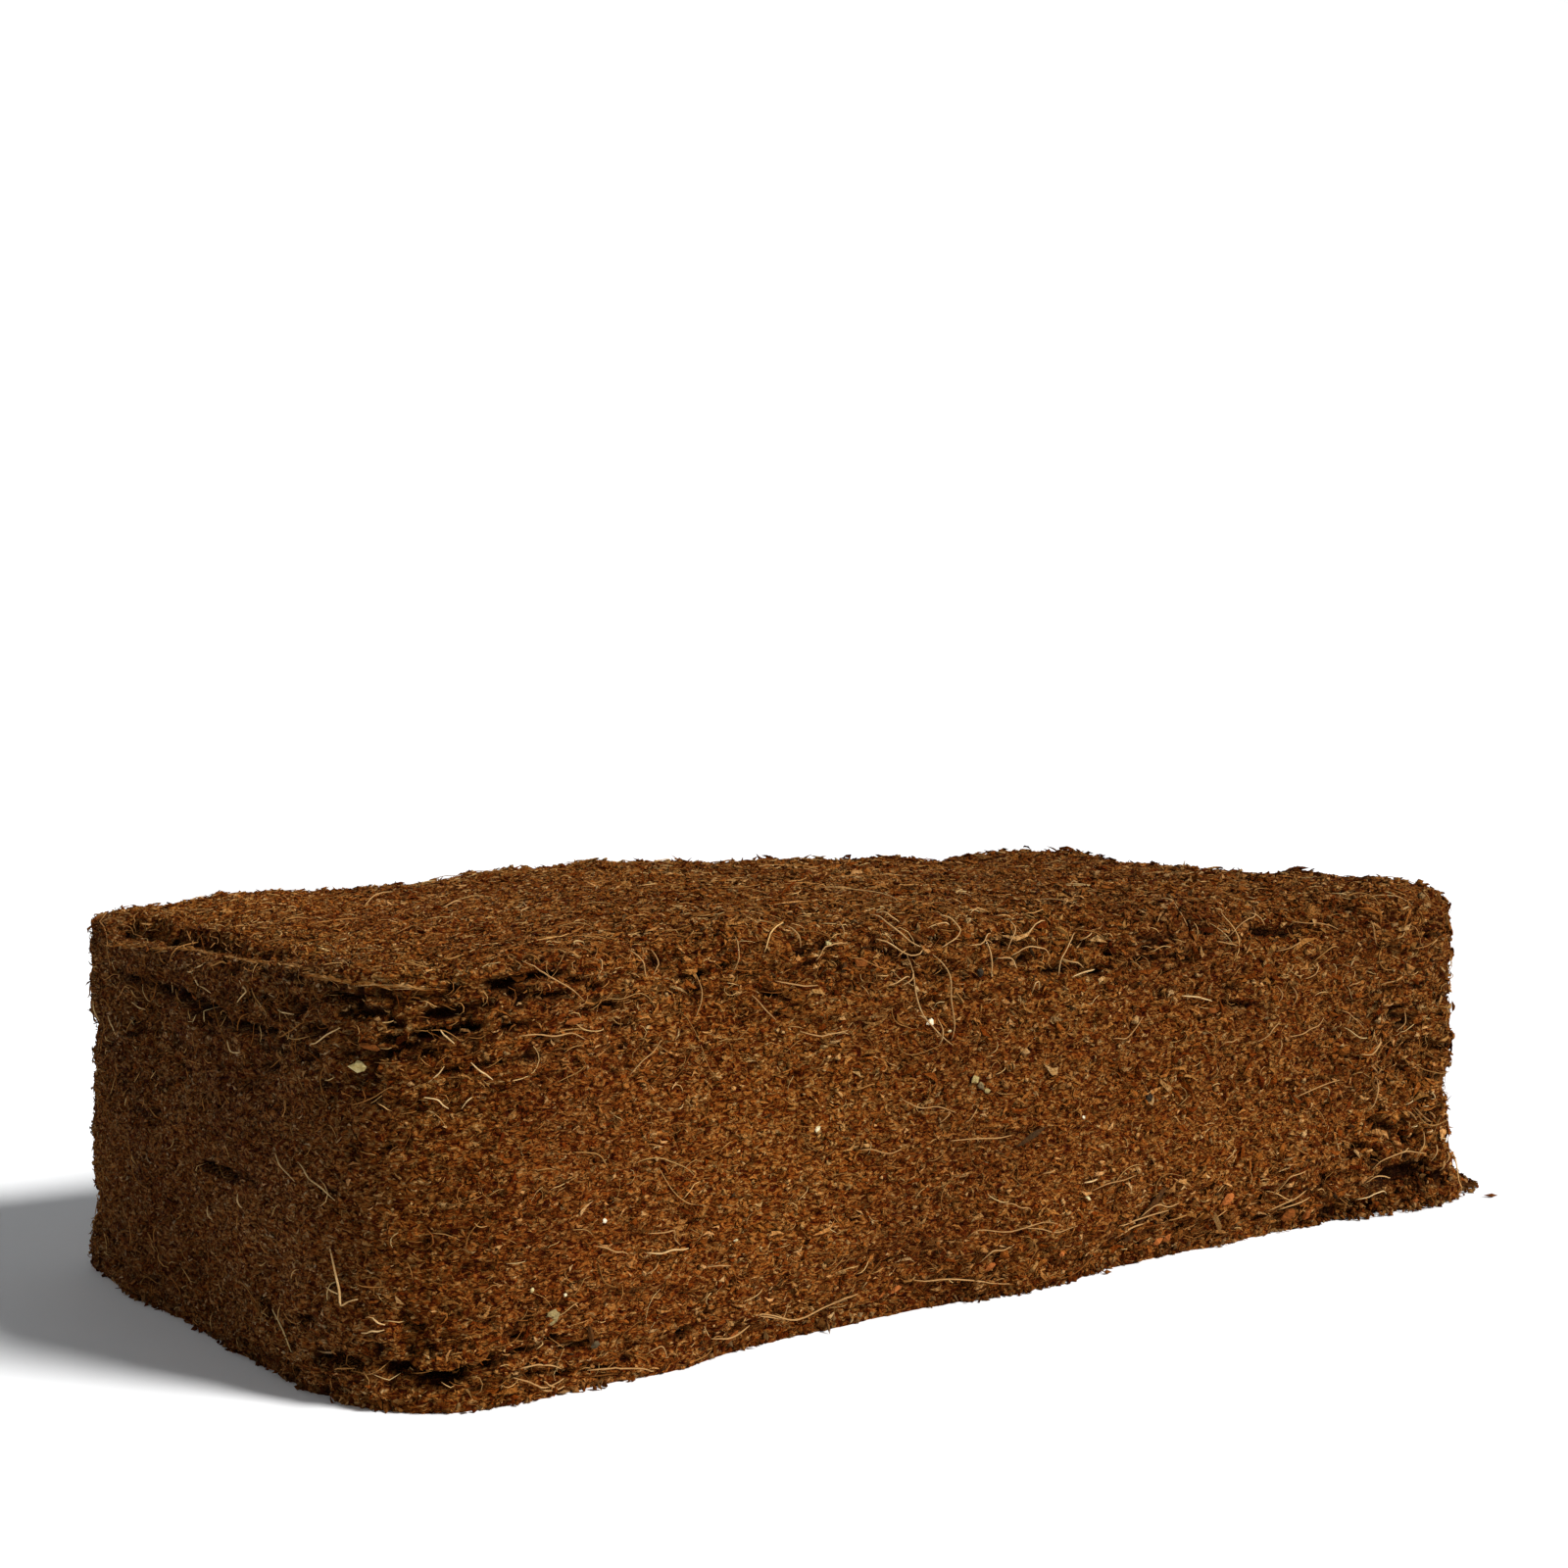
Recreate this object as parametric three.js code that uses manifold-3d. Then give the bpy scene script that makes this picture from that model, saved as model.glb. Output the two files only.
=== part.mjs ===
// A bare block of pressed coconut coir, about the size of a house brick.
// Millimetres, +Z up. X runs along the block and -Y is its front. The block rests on z = 0, and the
// origin is under the middle of its box.
import * as THREE from "three";
import { ImprovedNoise } from "three/addons/math/ImprovedNoise.js";
import { mergeVertices } from "three/addons/utils/BufferGeometryUtils.js";
import Module from "manifold-3d";

// The block as it left the press
const LENGTH = 200;
const WIDTH = 100;
const HEIGHT = 52; // at its corners
const CORNER_RADIUS = { frontLeft: 21, frontRight: 6, backRight: 12, backLeft: 10 };
const RIM_RADIUS = { leftEnd: 1.8, elsewhere: 4.8, growsFromX: -84, growsToX: -60 };
const FOOT_RADIUS = 2.5;
const BASE_CUT = 1.2; // the rough underside hangs this far below the base plane, which cuts it flat

// The top has swollen since, most of all left of its middle.
const CROWN = { height: 3.4, x: -32, reachLeft: 78, reachRight: 100, sideDrop: 0.25 };

// The outermost bed of the top has peeled off along the left end and left a narrow shelf, deeper to the back.
const SHELF = { width: 4.5, ragged: 1.5, raggedSize: 11, dropInFront: 0.5, dropBehind: 2.9 };
const SHELF_SPAN = { fromY: -33, toY: 34, fade: 3 };

// The surface is lumpy and parts in thin beds. Each noise has a shift of its own.
const LUMPS = { size: 19, height: 0.8, shift: 0.4 };
const CLODS = { size: 7.5, height: 1.2, shift: 9.2 };
const BEDS = { thickness: 3.2, height: 1.8, length: 24, step: 7.7, wander: 1.5, wanderSize: 45, shift: 3.3 };
const SHELF_SHIFT = 5.1;
const NOISE_GAIN = 1.5; // brings the noise to about -1 to 1
const EDGE_REACH = 9; // how far the rougher edges of a face reach in
const CALM = 0.35; // the share of the clods and beds that is left in the middle of a face

// Where pieces broke off (depth above 0) or pith heaps up (below 0): the middle, and the reach along X, Y, Z
const HOLLOWS = [
  { at: [56, -50, 51], reach: [13, 9, 4], depth: 3.2 }, // bite out of the front rim
  { at: [8, -50, 49], reach: [11, 7, 4], depth: 1.6 },
  { at: [-22, -50, 52], reach: [9, 6, 3], depth: 1.4 },
  { at: [62, -50, 1], reach: [34, 6, 3.5], depth: 2.4 }, // crumbled foot of the front
  { at: [16, -50, 0.5], reach: [20, 6, 4], depth: 2.8 },
  { at: [-37, -50, 0.5], reach: [26, 7, 5], depth: 3.6 },
  { at: [-85, -50, 1], reach: [9, 7, 5], depth: -1.1 }, // foot of the well-rounded corner
  { at: [-98, -33, 1], reach: [6, 10, 5], depth: 1 },
  { at: [-100, 18, 43], reach: [8, 14, 3], depth: 1.8 }, // loose bed above the left end's long fissure
  { at: [-98, 46, 25], reach: [7, 7, 8], depth: 0.8 },
  { at: [-98, 48, 1], reach: [7, 7, 4], depth: 1.2 },
  { at: [100, 12, 51], reach: [7, 16, 4], depth: 2.4 },
  { at: [99, 44, 3], reach: [8, 9, 5], depth: 2.6 },
  { at: [-46, 50, 51], reach: [17, 8, 4], depth: 2.6 },
  { at: [38, 50, 1], reach: [22, 6, 4], depth: 2.2 },
  { at: [18, 6, 56], reach: [26, 15, 6], depth: 0.9 },
  { at: [-60, 20, 56], reach: [18, 13, 6], depth: 0.8 },
  { at: [98, -50, 1], reach: [6, 9, 4], depth: -2.6 }, // toe of loose pith at the right corner
  { at: [86, -51, 0.5], reach: [5, 6, 2.5], depth: -1.6 },
  { at: [-88, -47, 24], reach: [22, 18, 15], depth: -1 }, // swollen front left corner
  { at: [-30, -50, 28], reach: [45, 12, 15], depth: -0.5 },
  { at: [20, 50, 28], reach: [60, 12, 18], depth: -1 },
];

// Fissures between beds. A path is given as [distance along the foot, height]: the distance runs from the
// front left corner along the front (0 to 200), the right end, the back, and the left end (-100 to 0).
const FISSURES = [
  { path: [[-88, 45], [-65, 44.2], [-48, 43.9], [-39, 43], [-25, 43.6]], depth: 7, mouth: 1.5 },
  { path: [[-9, 44], [0, 44.6], [10, 45.8], [21, 46.6]], depth: 5, mouth: 1.3 },
  { path: [[-18, 49.3], [-9, 48.8], [-1, 49.4]], depth: 3.5, mouth: 1 },
  { path: [[-3, 47.3], [6, 47.5], [16, 48.5]], depth: 3, mouth: 0.9 },
  { path: [[12, 50.6], [22, 51], [33, 51.2]], depth: 3, mouth: 0.9 },
  { path: [[-61, 22.2], [-45, 22.8], [-30, 23.7]], depth: 4, mouth: 1 },
  { path: [[-24, 5.8], [-14, 4.7], [-4, 5.3], [4, 4.6], [10, 5.1], [19, 6.6]], depth: 6.5, mouth: 1.5 },
  { path: [[66, 2.6], [80, 3], [93, 2.5]], depth: 4, mouth: 1 },
  { path: [[112, 43.5], [124, 44.6], [137, 44]], depth: 3, mouth: 0.9 },
  { path: [[226, 37], [246, 38.4], [262, 38], [281, 39]], depth: 5, mouth: 1.2 },
  { path: [[290, 9], [300, 9.6], [312, 8.8]], depth: 5, mouth: 1.2 },
  { path: [[330, 14], [352, 15.2], [371, 14.6], [396, 15.6]], depth: 5, mouth: 1.2 },
  { path: [[432, 42], [455, 41], [478, 42.4]], depth: 5, mouth: 1.3 },
];
const FISSURE_STEP = 4; // between two stations of a fissure
const FISSURE_TIP = 0.25; // how thin it is at its inner edge
const FISSURE_END = 0.12; // how much of its depth is left at its two ends
const FISSURE_FULLNESS = 0.7; // below 1, a fissure keeps its depth further towards its ends
const FISSURE_OVERHANG = 5; // how far the cutting wedge stands out of the block

// The grid that carries the relief has its lines closer together near the edges of each face.
const GRID = { x: 50, y: 25, z: 14 };
const GATHER = { x: 0.35, y: 0.35, z: 0.55 };
const MERGE_DISTANCE = 1e-4;

const noise = new ImprovedNoise();
const wasm = await Module();
wasm.setup();

/** Moves a share of a side, 0 to 1, towards its nearer end. */
function gather(share, strength) {
  return share - (strength * Math.sin(2 * Math.PI * share)) / (2 * Math.PI);
}

/** Rounds a square edge for a point on one of its faces, a mm from the first and b mm from the second.
 * The turn is 0 where the surface faces as the first does, and 1 where it faces as the second. */
function roundEdge(a, b, radius) {
  const reach = a + b;
  const side = a > b ? 1 : -1;
  if (reach >= radius) return { a, b, turn: (1 + side) / 2 };
  const turn = (1 + (side * reach) / radius) / 2;
  const angle = (turn * Math.PI) / 2;
  return { a: radius * (1 - Math.cos(angle)), b: radius * (1 - Math.sin(angle)), turn };
}

function cornerRadius(x, y) {
  if (y < 0) return x < 0 ? CORNER_RADIUS.frontLeft : CORNER_RADIUS.frontRight;
  return x < 0 ? CORNER_RADIUS.backLeft : CORNER_RADIUS.backRight;
}

/** Where a point of the sharp rectangle lies in the plan with round corners, with its distance from the
 * rim and the rim's outward direction there. */
function roundPlan(x, y) {
  const fromEnd = LENGTH / 2 - Math.abs(x);
  const fromSide = WIDTH / 2 - Math.abs(y);
  const radius = cornerRadius(x, y);
  const signX = Math.sign(x) || 1;
  const signY = Math.sign(y) || 1;
  if (Math.max(fromEnd, fromSide) >= radius) {
    const facesEnd = fromEnd < fromSide;
    const inset = Math.min(fromEnd, fromSide);
    return { x, y, inset, outX: facesEnd ? signX : 0, outY: facesEnd ? 0 : signY };
  }
  const ring = 1 - Math.min(fromEnd, fromSide) / radius;
  const rim = roundEdge(
    Math.max(0, radius - (radius - fromEnd) / ring),
    Math.max(0, radius - (radius - fromSide) / ring),
    radius,
  );
  const angle = (rim.turn * Math.PI) / 2;
  return {
    x: signX * (LENGTH / 2 - radius + ring * (radius - rim.a)),
    y: signY * (WIDTH / 2 - radius + ring * (radius - rim.b)),
    inset: (1 - ring) * radius,
    outX: signX * Math.cos(angle),
    outY: signY * Math.sin(angle),
  };
}

/** How far the top has swollen here. */
function crownAt(x, y) {
  const reach = x < CROWN.x ? CROWN.reachLeft : CROWN.reachRight;
  const along = Math.min(1, Math.abs(x - CROWN.x) / reach);
  const across = Math.min(1, Math.abs(y) / (WIDTH / 2));
  return CROWN.height * (1 - along ** 2) ** 2 * (1 - CROWN.sideDrop * across ** 3);
}

/** The radius of the rim, which is crisp on the left end and worn everywhere else. */
function rimRadius(x) {
  const grown = THREE.MathUtils.smoothstep(x, RIM_RADIUS.growsFromX, RIM_RADIUS.growsToX);
  return THREE.MathUtils.lerp(RIM_RADIUS.leftEnd, RIM_RADIUS.elsewhere, grown);
}

/** The smooth form: where a point of the sharp block lies, and its outward normal. */
function smoothSkin(x, y, z) {
  const plan = roundPlan(x, y);
  const fromTop = HEIGHT - z;
  const upper = fromTop < z;
  const radius = upper ? rimRadius(x) : FOOT_RADIUS;
  const edge = roundEdge(plan.inset, upper ? fromTop : z, radius);
  const moved = edge.a - plan.inset;
  const angle = (edge.turn * Math.PI) / 2;
  const level = upper ? HEIGHT - edge.b : edge.b;
  const point = new THREE.Vector3(plan.x - plan.outX * moved, plan.y - plan.outY * moved, level);
  point.z *= 1 + crownAt(point.x, point.y) / HEIGHT;
  const normal = new THREE.Vector3(
    plan.outX * Math.cos(angle),
    plan.outY * Math.cos(angle),
    (upper ? 1 : -1) * Math.sin(angle),
  );
  return { point, normal };
}

/** Noise from about -1 to 1, in lumps of the given size. */
function lumpy(p, size, shift) {
  return NOISE_GAIN * noise.noise(p.x / size + shift, p.y / size + shift, p.z / size + shift);
}

/** How far the bed that a point belongs to stands out of the side, from about -1 to 1. */
function bedded(p) {
  const wander = BEDS.wander * lumpy(p, BEDS.wanderSize, BEDS.shift);
  const bed = Math.floor((p.z + wander) / BEDS.thickness);
  return NOISE_GAIN * noise.noise(p.x / BEDS.length + BEDS.step * bed, p.y / BEDS.length, BEDS.shift * bed);
}

/** 1 at the block's edges, falling towards 0 in the middle of a face. */
function nearEdge(p) {
  const gaps = [LENGTH / 2 - Math.abs(p.x), WIDTH / 2 - Math.abs(p.y), Math.min(p.z, HEIGHT - p.z)];
  const secondNearest = gaps.sort((a, b) => a - b)[1];
  return Math.exp(-Math.max(0, secondNearest) / EDGE_REACH);
}

function hollowsAt(p) {
  let depth = 0;
  for (const hollow of HOLLOWS) {
    const [x, y, z] = hollow.at.map((middle, i) => (p.getComponent(i) - middle) / hollow.reach[i]);
    depth += hollow.depth * Math.exp(-(x * x + y * y + z * z));
  }
  return depth;
}

/** How far the top is lowered where its outermost bed is gone. */
function shelfAt(p, normal) {
  if (normal.z < 0.5) return 0;
  const width = SHELF.width + SHELF.ragged * lumpy(p, SHELF.raggedSize, SHELF_SHIFT);
  if (p.x + LENGTH / 2 > width) return 0;
  const { fromY, toY, fade } = SHELF_SPAN;
  const along = THREE.MathUtils.clamp((p.y - fromY) / (toY - fromY), 0, 1);
  const drop = THREE.MathUtils.lerp(SHELF.dropInFront, SHELF.dropBehind, along);
  const pastEnds = Math.max(fromY - p.y, p.y - toY, 0);
  return drop * Math.exp(-((pastEnds / fade) ** 2));
}

/** Where a point of the sharp block lies on the rough surface. */
function roughSkin(x, y, z) {
  const { point, normal } = smoothSkin(x, y, z);
  const roughness = CALM + (1 - CALM) * nearEdge(point);
  const upright = 1 - Math.abs(normal.z);
  const height =
    LUMPS.height * lumpy(point, LUMPS.size, LUMPS.shift) +
    CLODS.height * roughness * lumpy(point, CLODS.size, CLODS.shift) +
    BEDS.height * roughness * upright * bedded(point) -
    hollowsAt(point);
  const rough = point.clone().addScaledVector(normal, height);
  rough.z = z === 0 ? -BASE_CUT : rough.z - shelfAt(point, normal);
  return rough;
}

/** A closed three.js geometry as a solid that can be cut. */
function toSolid(geometry) {
  const bare = geometry.clone();
  bare.deleteAttribute("normal");
  bare.deleteAttribute("uv");
  const merged = mergeVertices(bare, MERGE_DISTANCE);
  return new wasm.Manifold(
    new wasm.Mesh({
      numProp: 3,
      vertProperties: merged.attributes.position.array,
      triVerts: new Uint32Array(merged.index.array),
    }),
  );
}

function toGeometry(solid) {
  const mesh = solid.getMesh();
  const geometry = new THREE.BufferGeometry();
  geometry.setAttribute("position", new THREE.BufferAttribute(mesh.vertProperties, 3));
  geometry.setIndex(new THREE.BufferAttribute(mesh.triVerts, 1));
  return geometry;
}

/** The whole block with its relief, before its base is cut flat and its fissures are made. */
function blockGeometry() {
  const geometry = new THREE.BoxGeometry(1, 1, 1, GRID.x, GRID.y, GRID.z);
  const position = geometry.attributes.position;
  for (let i = 0; i < position.count; i++) {
    const x = (gather(position.getX(i) + 0.5, GATHER.x) - 0.5) * LENGTH;
    const y = (gather(position.getY(i) + 0.5, GATHER.y) - 0.5) * WIDTH;
    const z = gather(position.getZ(i) + 0.5, GATHER.z) * HEIGHT;
    const rough = roughSkin(x, y, z);
    position.setXYZ(i, rough.x, rough.y, rough.z);
  }
  return geometry;
}

/** Everything below the base plane. */
function groundGeometry() {
  const depth = 4 * BASE_CUT;
  return new THREE.BoxGeometry(2 * LENGTH, 2 * WIDTH, depth).translate(0, 0, -depth / 2);
}

/** The point of the sharp block's outline that lies this far along its foot. */
function alongFoot(distance) {
  const round = 2 * (LENGTH + WIDTH);
  let rest = ((distance % round) + round) % round;
  if (rest <= LENGTH) return [rest - LENGTH / 2, -WIDTH / 2];
  rest -= LENGTH;
  if (rest <= WIDTH) return [LENGTH / 2, rest - WIDTH / 2];
  rest -= WIDTH;
  if (rest <= LENGTH) return [LENGTH / 2 - rest, WIDTH / 2];
  return [-LENGTH / 2, WIDTH / 2 - (rest - LENGTH)];
}

/** The wedge that a fissure takes out of the side, deepest in its middle and almost closed at its ends. */
function fissureGeometry({ path, depth, mouth }) {
  const curve = new THREE.SplineCurve(path.map(([along, height]) => new THREE.Vector2(along, height)));
  const stations = Math.ceil(curve.getLength() / FISSURE_STEP);
  const geometry = new THREE.BoxGeometry(1, 1, 1, stations, 1, 1);
  const position = geometry.attributes.position;
  for (let i = 0; i < position.count; i++) {
    const share = position.getX(i) + 0.5;
    const inner = position.getY(i) > 0;
    const side = Math.sign(position.getZ(i));
    const station = curve.getPoint(share);
    const open = FISSURE_END + (1 - FISSURE_END) * Math.sin(Math.PI * share) ** FISSURE_FULLNESS;
    const { point, normal } = smoothSkin(...alongFoot(station.x), station.y);
    const out = inner ? -depth * open : FISSURE_OVERHANG;
    const gap = inner ? FISSURE_TIP : mouth * open;
    point.addScaledVector(normal.setZ(0).normalize(), out);
    position.setXYZ(i, point.x, point.y, point.z + (side * gap) / 2);
  }
  return geometry;
}

function coirBale() {
  let block = toSolid(blockGeometry()).subtract(toSolid(groundGeometry()));
  for (const fissure of FISSURES) block = block.subtract(toSolid(fissureGeometry(fissure)));
  const geometry = toGeometry(block);
  geometry.computeBoundingBox();
  const middle = geometry.boundingBox.getCenter(new THREE.Vector3());
  geometry.translate(-middle.x, -middle.y, 0);
  const coir = new THREE.MeshStandardMaterial({
    color: 0x6e4020, // warm brown pith with straw-coloured fibre
    roughness: 0.95,
    metalness: 0,
    flatShading: true,
  });
  const mesh = new THREE.Mesh(geometry, coir);
  mesh.name = "coir_bale";
  return mesh;
}

const bale = new THREE.Group();
bale.add(coirBale());

export default bale;
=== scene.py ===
# A bare block of pressed coconut coir on a pale studio floor: one rough body, with its pith grains, husk
# chips, stones and curly fibres as joined meshes. Arrays hold millimetres in the part's frame (X along
# the block, -Y its front, Z up) and turn to metres when a mesh is made.
import math

import bpy
import numpy as np
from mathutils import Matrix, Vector
from mathutils.bvhtree import BVHTree
from mathutils.geometry import delaunay_2d_cdt


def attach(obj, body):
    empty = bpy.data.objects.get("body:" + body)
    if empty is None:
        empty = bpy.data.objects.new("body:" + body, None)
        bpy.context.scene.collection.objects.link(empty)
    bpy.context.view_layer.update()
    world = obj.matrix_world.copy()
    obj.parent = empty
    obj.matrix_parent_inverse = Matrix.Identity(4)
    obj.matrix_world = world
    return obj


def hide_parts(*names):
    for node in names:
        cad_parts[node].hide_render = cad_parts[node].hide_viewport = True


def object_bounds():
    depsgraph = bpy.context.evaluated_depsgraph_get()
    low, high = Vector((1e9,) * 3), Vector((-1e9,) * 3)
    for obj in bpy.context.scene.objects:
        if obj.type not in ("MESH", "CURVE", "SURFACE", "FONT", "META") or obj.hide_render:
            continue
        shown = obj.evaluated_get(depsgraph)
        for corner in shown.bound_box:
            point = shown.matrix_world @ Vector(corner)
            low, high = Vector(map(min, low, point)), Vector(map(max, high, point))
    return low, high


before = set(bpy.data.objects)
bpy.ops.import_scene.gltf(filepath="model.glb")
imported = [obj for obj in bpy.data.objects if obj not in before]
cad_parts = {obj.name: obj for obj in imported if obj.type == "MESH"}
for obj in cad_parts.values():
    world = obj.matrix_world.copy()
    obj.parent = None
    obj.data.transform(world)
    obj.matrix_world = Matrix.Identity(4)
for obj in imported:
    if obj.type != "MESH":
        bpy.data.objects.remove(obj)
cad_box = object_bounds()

MM = 0.001
NODE = "coir_bale"
BODY = "root"

# The photograph's camera, in the part's frame
PICTURE = 1600  # pixels a side
SENSOR = 36.0
CAMERA_PLACE = np.array([-216.2, -283.5, 88.5])
CAMERA_AZIMUTH = math.radians(36.76)  # from +Y towards +X
CAMERA_PITCH = math.radians(2.93)  # below the horizon
CAMERA_FOCUS = 2315.0  # focal length in pixels

# The form that the solid's skin is sampled from: a plain block with round corners and edges
LENGTH, WIDTH, HEIGHT = 200.0, 100.0, 52.0
CORNER_RADII = {(-1, -1): 21.0, (1, -1): 6.0, (1, 1): 12.0, (-1, 1): 10.0}  # by the signs of X and Y
RIM_RADII = (1.2, 4.8)  # on the left end and elsewhere
RIM_GROWS = (-84.0, -60.0)  # the X between which it grows
FOOT_RADIUS = 2.5
CELL = 0.79  # spacing of the body's vertices
FLOOR_GAP = 0.02  # loose bits stay this far above the floor

# The outermost bed of the top has peeled off along the left end and left a shelf, deeper towards the back
SHELF_WIDTH, SHELF_RAGGED = 4.6, 1.6  # in mm, and how far its edge strays from that
SHELF_Y = (-33.0, 33.0, 36.0)  # where it starts, is deepest and ends
SHELF_DROPS = (0.4, 2.9, 0.0)
SHELF_BAYS, SHELF_NICKS = (11.0, 61), (2.6, 62)  # size of its edge's lumps and their seed
SHELF_NICK_SHARE = 0.4

# The grains grow from the left end to the right: three X, and the factor on their size at each
GRADE_X = (-100.0, -20.0, 60.0)
GRADES = (0.56, 0.92, 1.25)

# Places where the skin is loose and flaky: pixel in the photograph, then reach along and up in mm
LOOSE_PLACES = [
    ((430, 1050), 22, 7),
    ((430, 1395), 28, 4.5),
    ((230, 1010), 24, 6),
    ((140, 1055), 20, 8),
    ((700, 965), 26, 5),
    ((1050, 960), 42, 7),
    ((1350, 1225), 40, 8),
    ((1440, 1080), 16, 18),
]

# Thin gaps between the beds: depth and half-width in mm, then their route in the photograph's pixels
CRACKS = [
    (2.4, 0.6, (116, 990), (130, 997), (150, 1005), (172, 1009)),
    (2.8, 0.7, (160, 1008), (185, 1014), (202, 1023), (221, 1034)),
    (2.4, 0.5, (212, 1036), (244, 1047), (270, 1053), (309, 1060)),
    (1.4, 0.5, (320, 1002), (360, 1012), (414, 1017), (450, 1014)),
    (2.2, 0.5, (345, 1031), (372, 1034), (413, 1027)),
    (2.2, 0.5, (350, 1071), (380, 1077), (403, 1073), (440, 1061), (478, 1053)),
    (1.5, 0.45, (470, 1062), (520, 1050), (562, 1047)),
    (1.2, 0.45, (430, 1040), (470, 1033), (505, 1030)),
    (1.7, 0.5, (536, 1012), (558, 1018), (580, 1014)),
    (1.4, 0.5, (256, 1062), (275, 1068), (300, 1072)),
    (1.2, 0.45, (150, 1040), (175, 1048), (200, 1056)),
    (1.2, 0.5, (250, 1080), (268, 1086), (285, 1088)),
    (1.2, 0.45, (330, 1212), (338, 1219), (346, 1225)),
    (1.3, 0.45, (186, 1177), (219, 1190), (250, 1201), (270, 1208)),
    (1.2, 0.45, (130, 1130), (150, 1135), (166, 1133)),
    (1.8, 0.5, (318, 1380), (330, 1384), (372, 1392)),
    (2.8, 0.55, (372, 1392), (405, 1398), (446, 1407), (466, 1412)),
    (1.8, 0.5, (486, 1404), (505, 1392), (530, 1380), (548, 1378)),
    (1.3, 0.45, (560, 1385), (590, 1374), (625, 1366)),
    (1.5, 0.5, (1240, 1021), (1262, 1025), (1280, 1028), (1301, 1031)),
    (1.8, 0.8, (1262, 940), (1290, 950), (1310, 950), (1330, 941)),
    (1.3, 0.5, (1090, 960), (1115, 966), (1140, 972)),
    (1.4, 0.6, (880, 965), (905, 970), (935, 973)),
    (1.4, 0.6, (950, 990), (962, 994), (985, 992)),
    (1.2, 0.5, (1010, 958), (1050, 965), (1080, 962)),
    (1.2, 0.5, (1150, 955), (1185, 960), (1215, 955)),
    (1.2, 0.5, (655, 985), (690, 978), (735, 974)),
    (0.8, 0.5, (1008, 1154), (1040, 1160), (1080, 1150)),
    (0.8, 1.3, (126, 951), (165, 957), (200, 962), (250, 970), (305, 980)),
    (0.7, 0.4, (112, 971), (170, 977), (223, 984), (269, 992), (323, 1003), (390, 1013)),
    (2.2, 2.6, (1392, 1216), (1418, 1203), (1440, 1195), (1460, 1200), (1478, 1206)),
    (1.2, 1.2, (1310, 1246), (1340, 1240), (1375, 1228)),
]

# The torn edge of the bed at the shelf's outer line, in the photograph's pixels
TORN_EDGE = [
    (112, 965), (140, 967), (170, 970), (223, 977),
    (269, 984), (323, 995), (381, 1004), (432, 1009),
]

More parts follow.
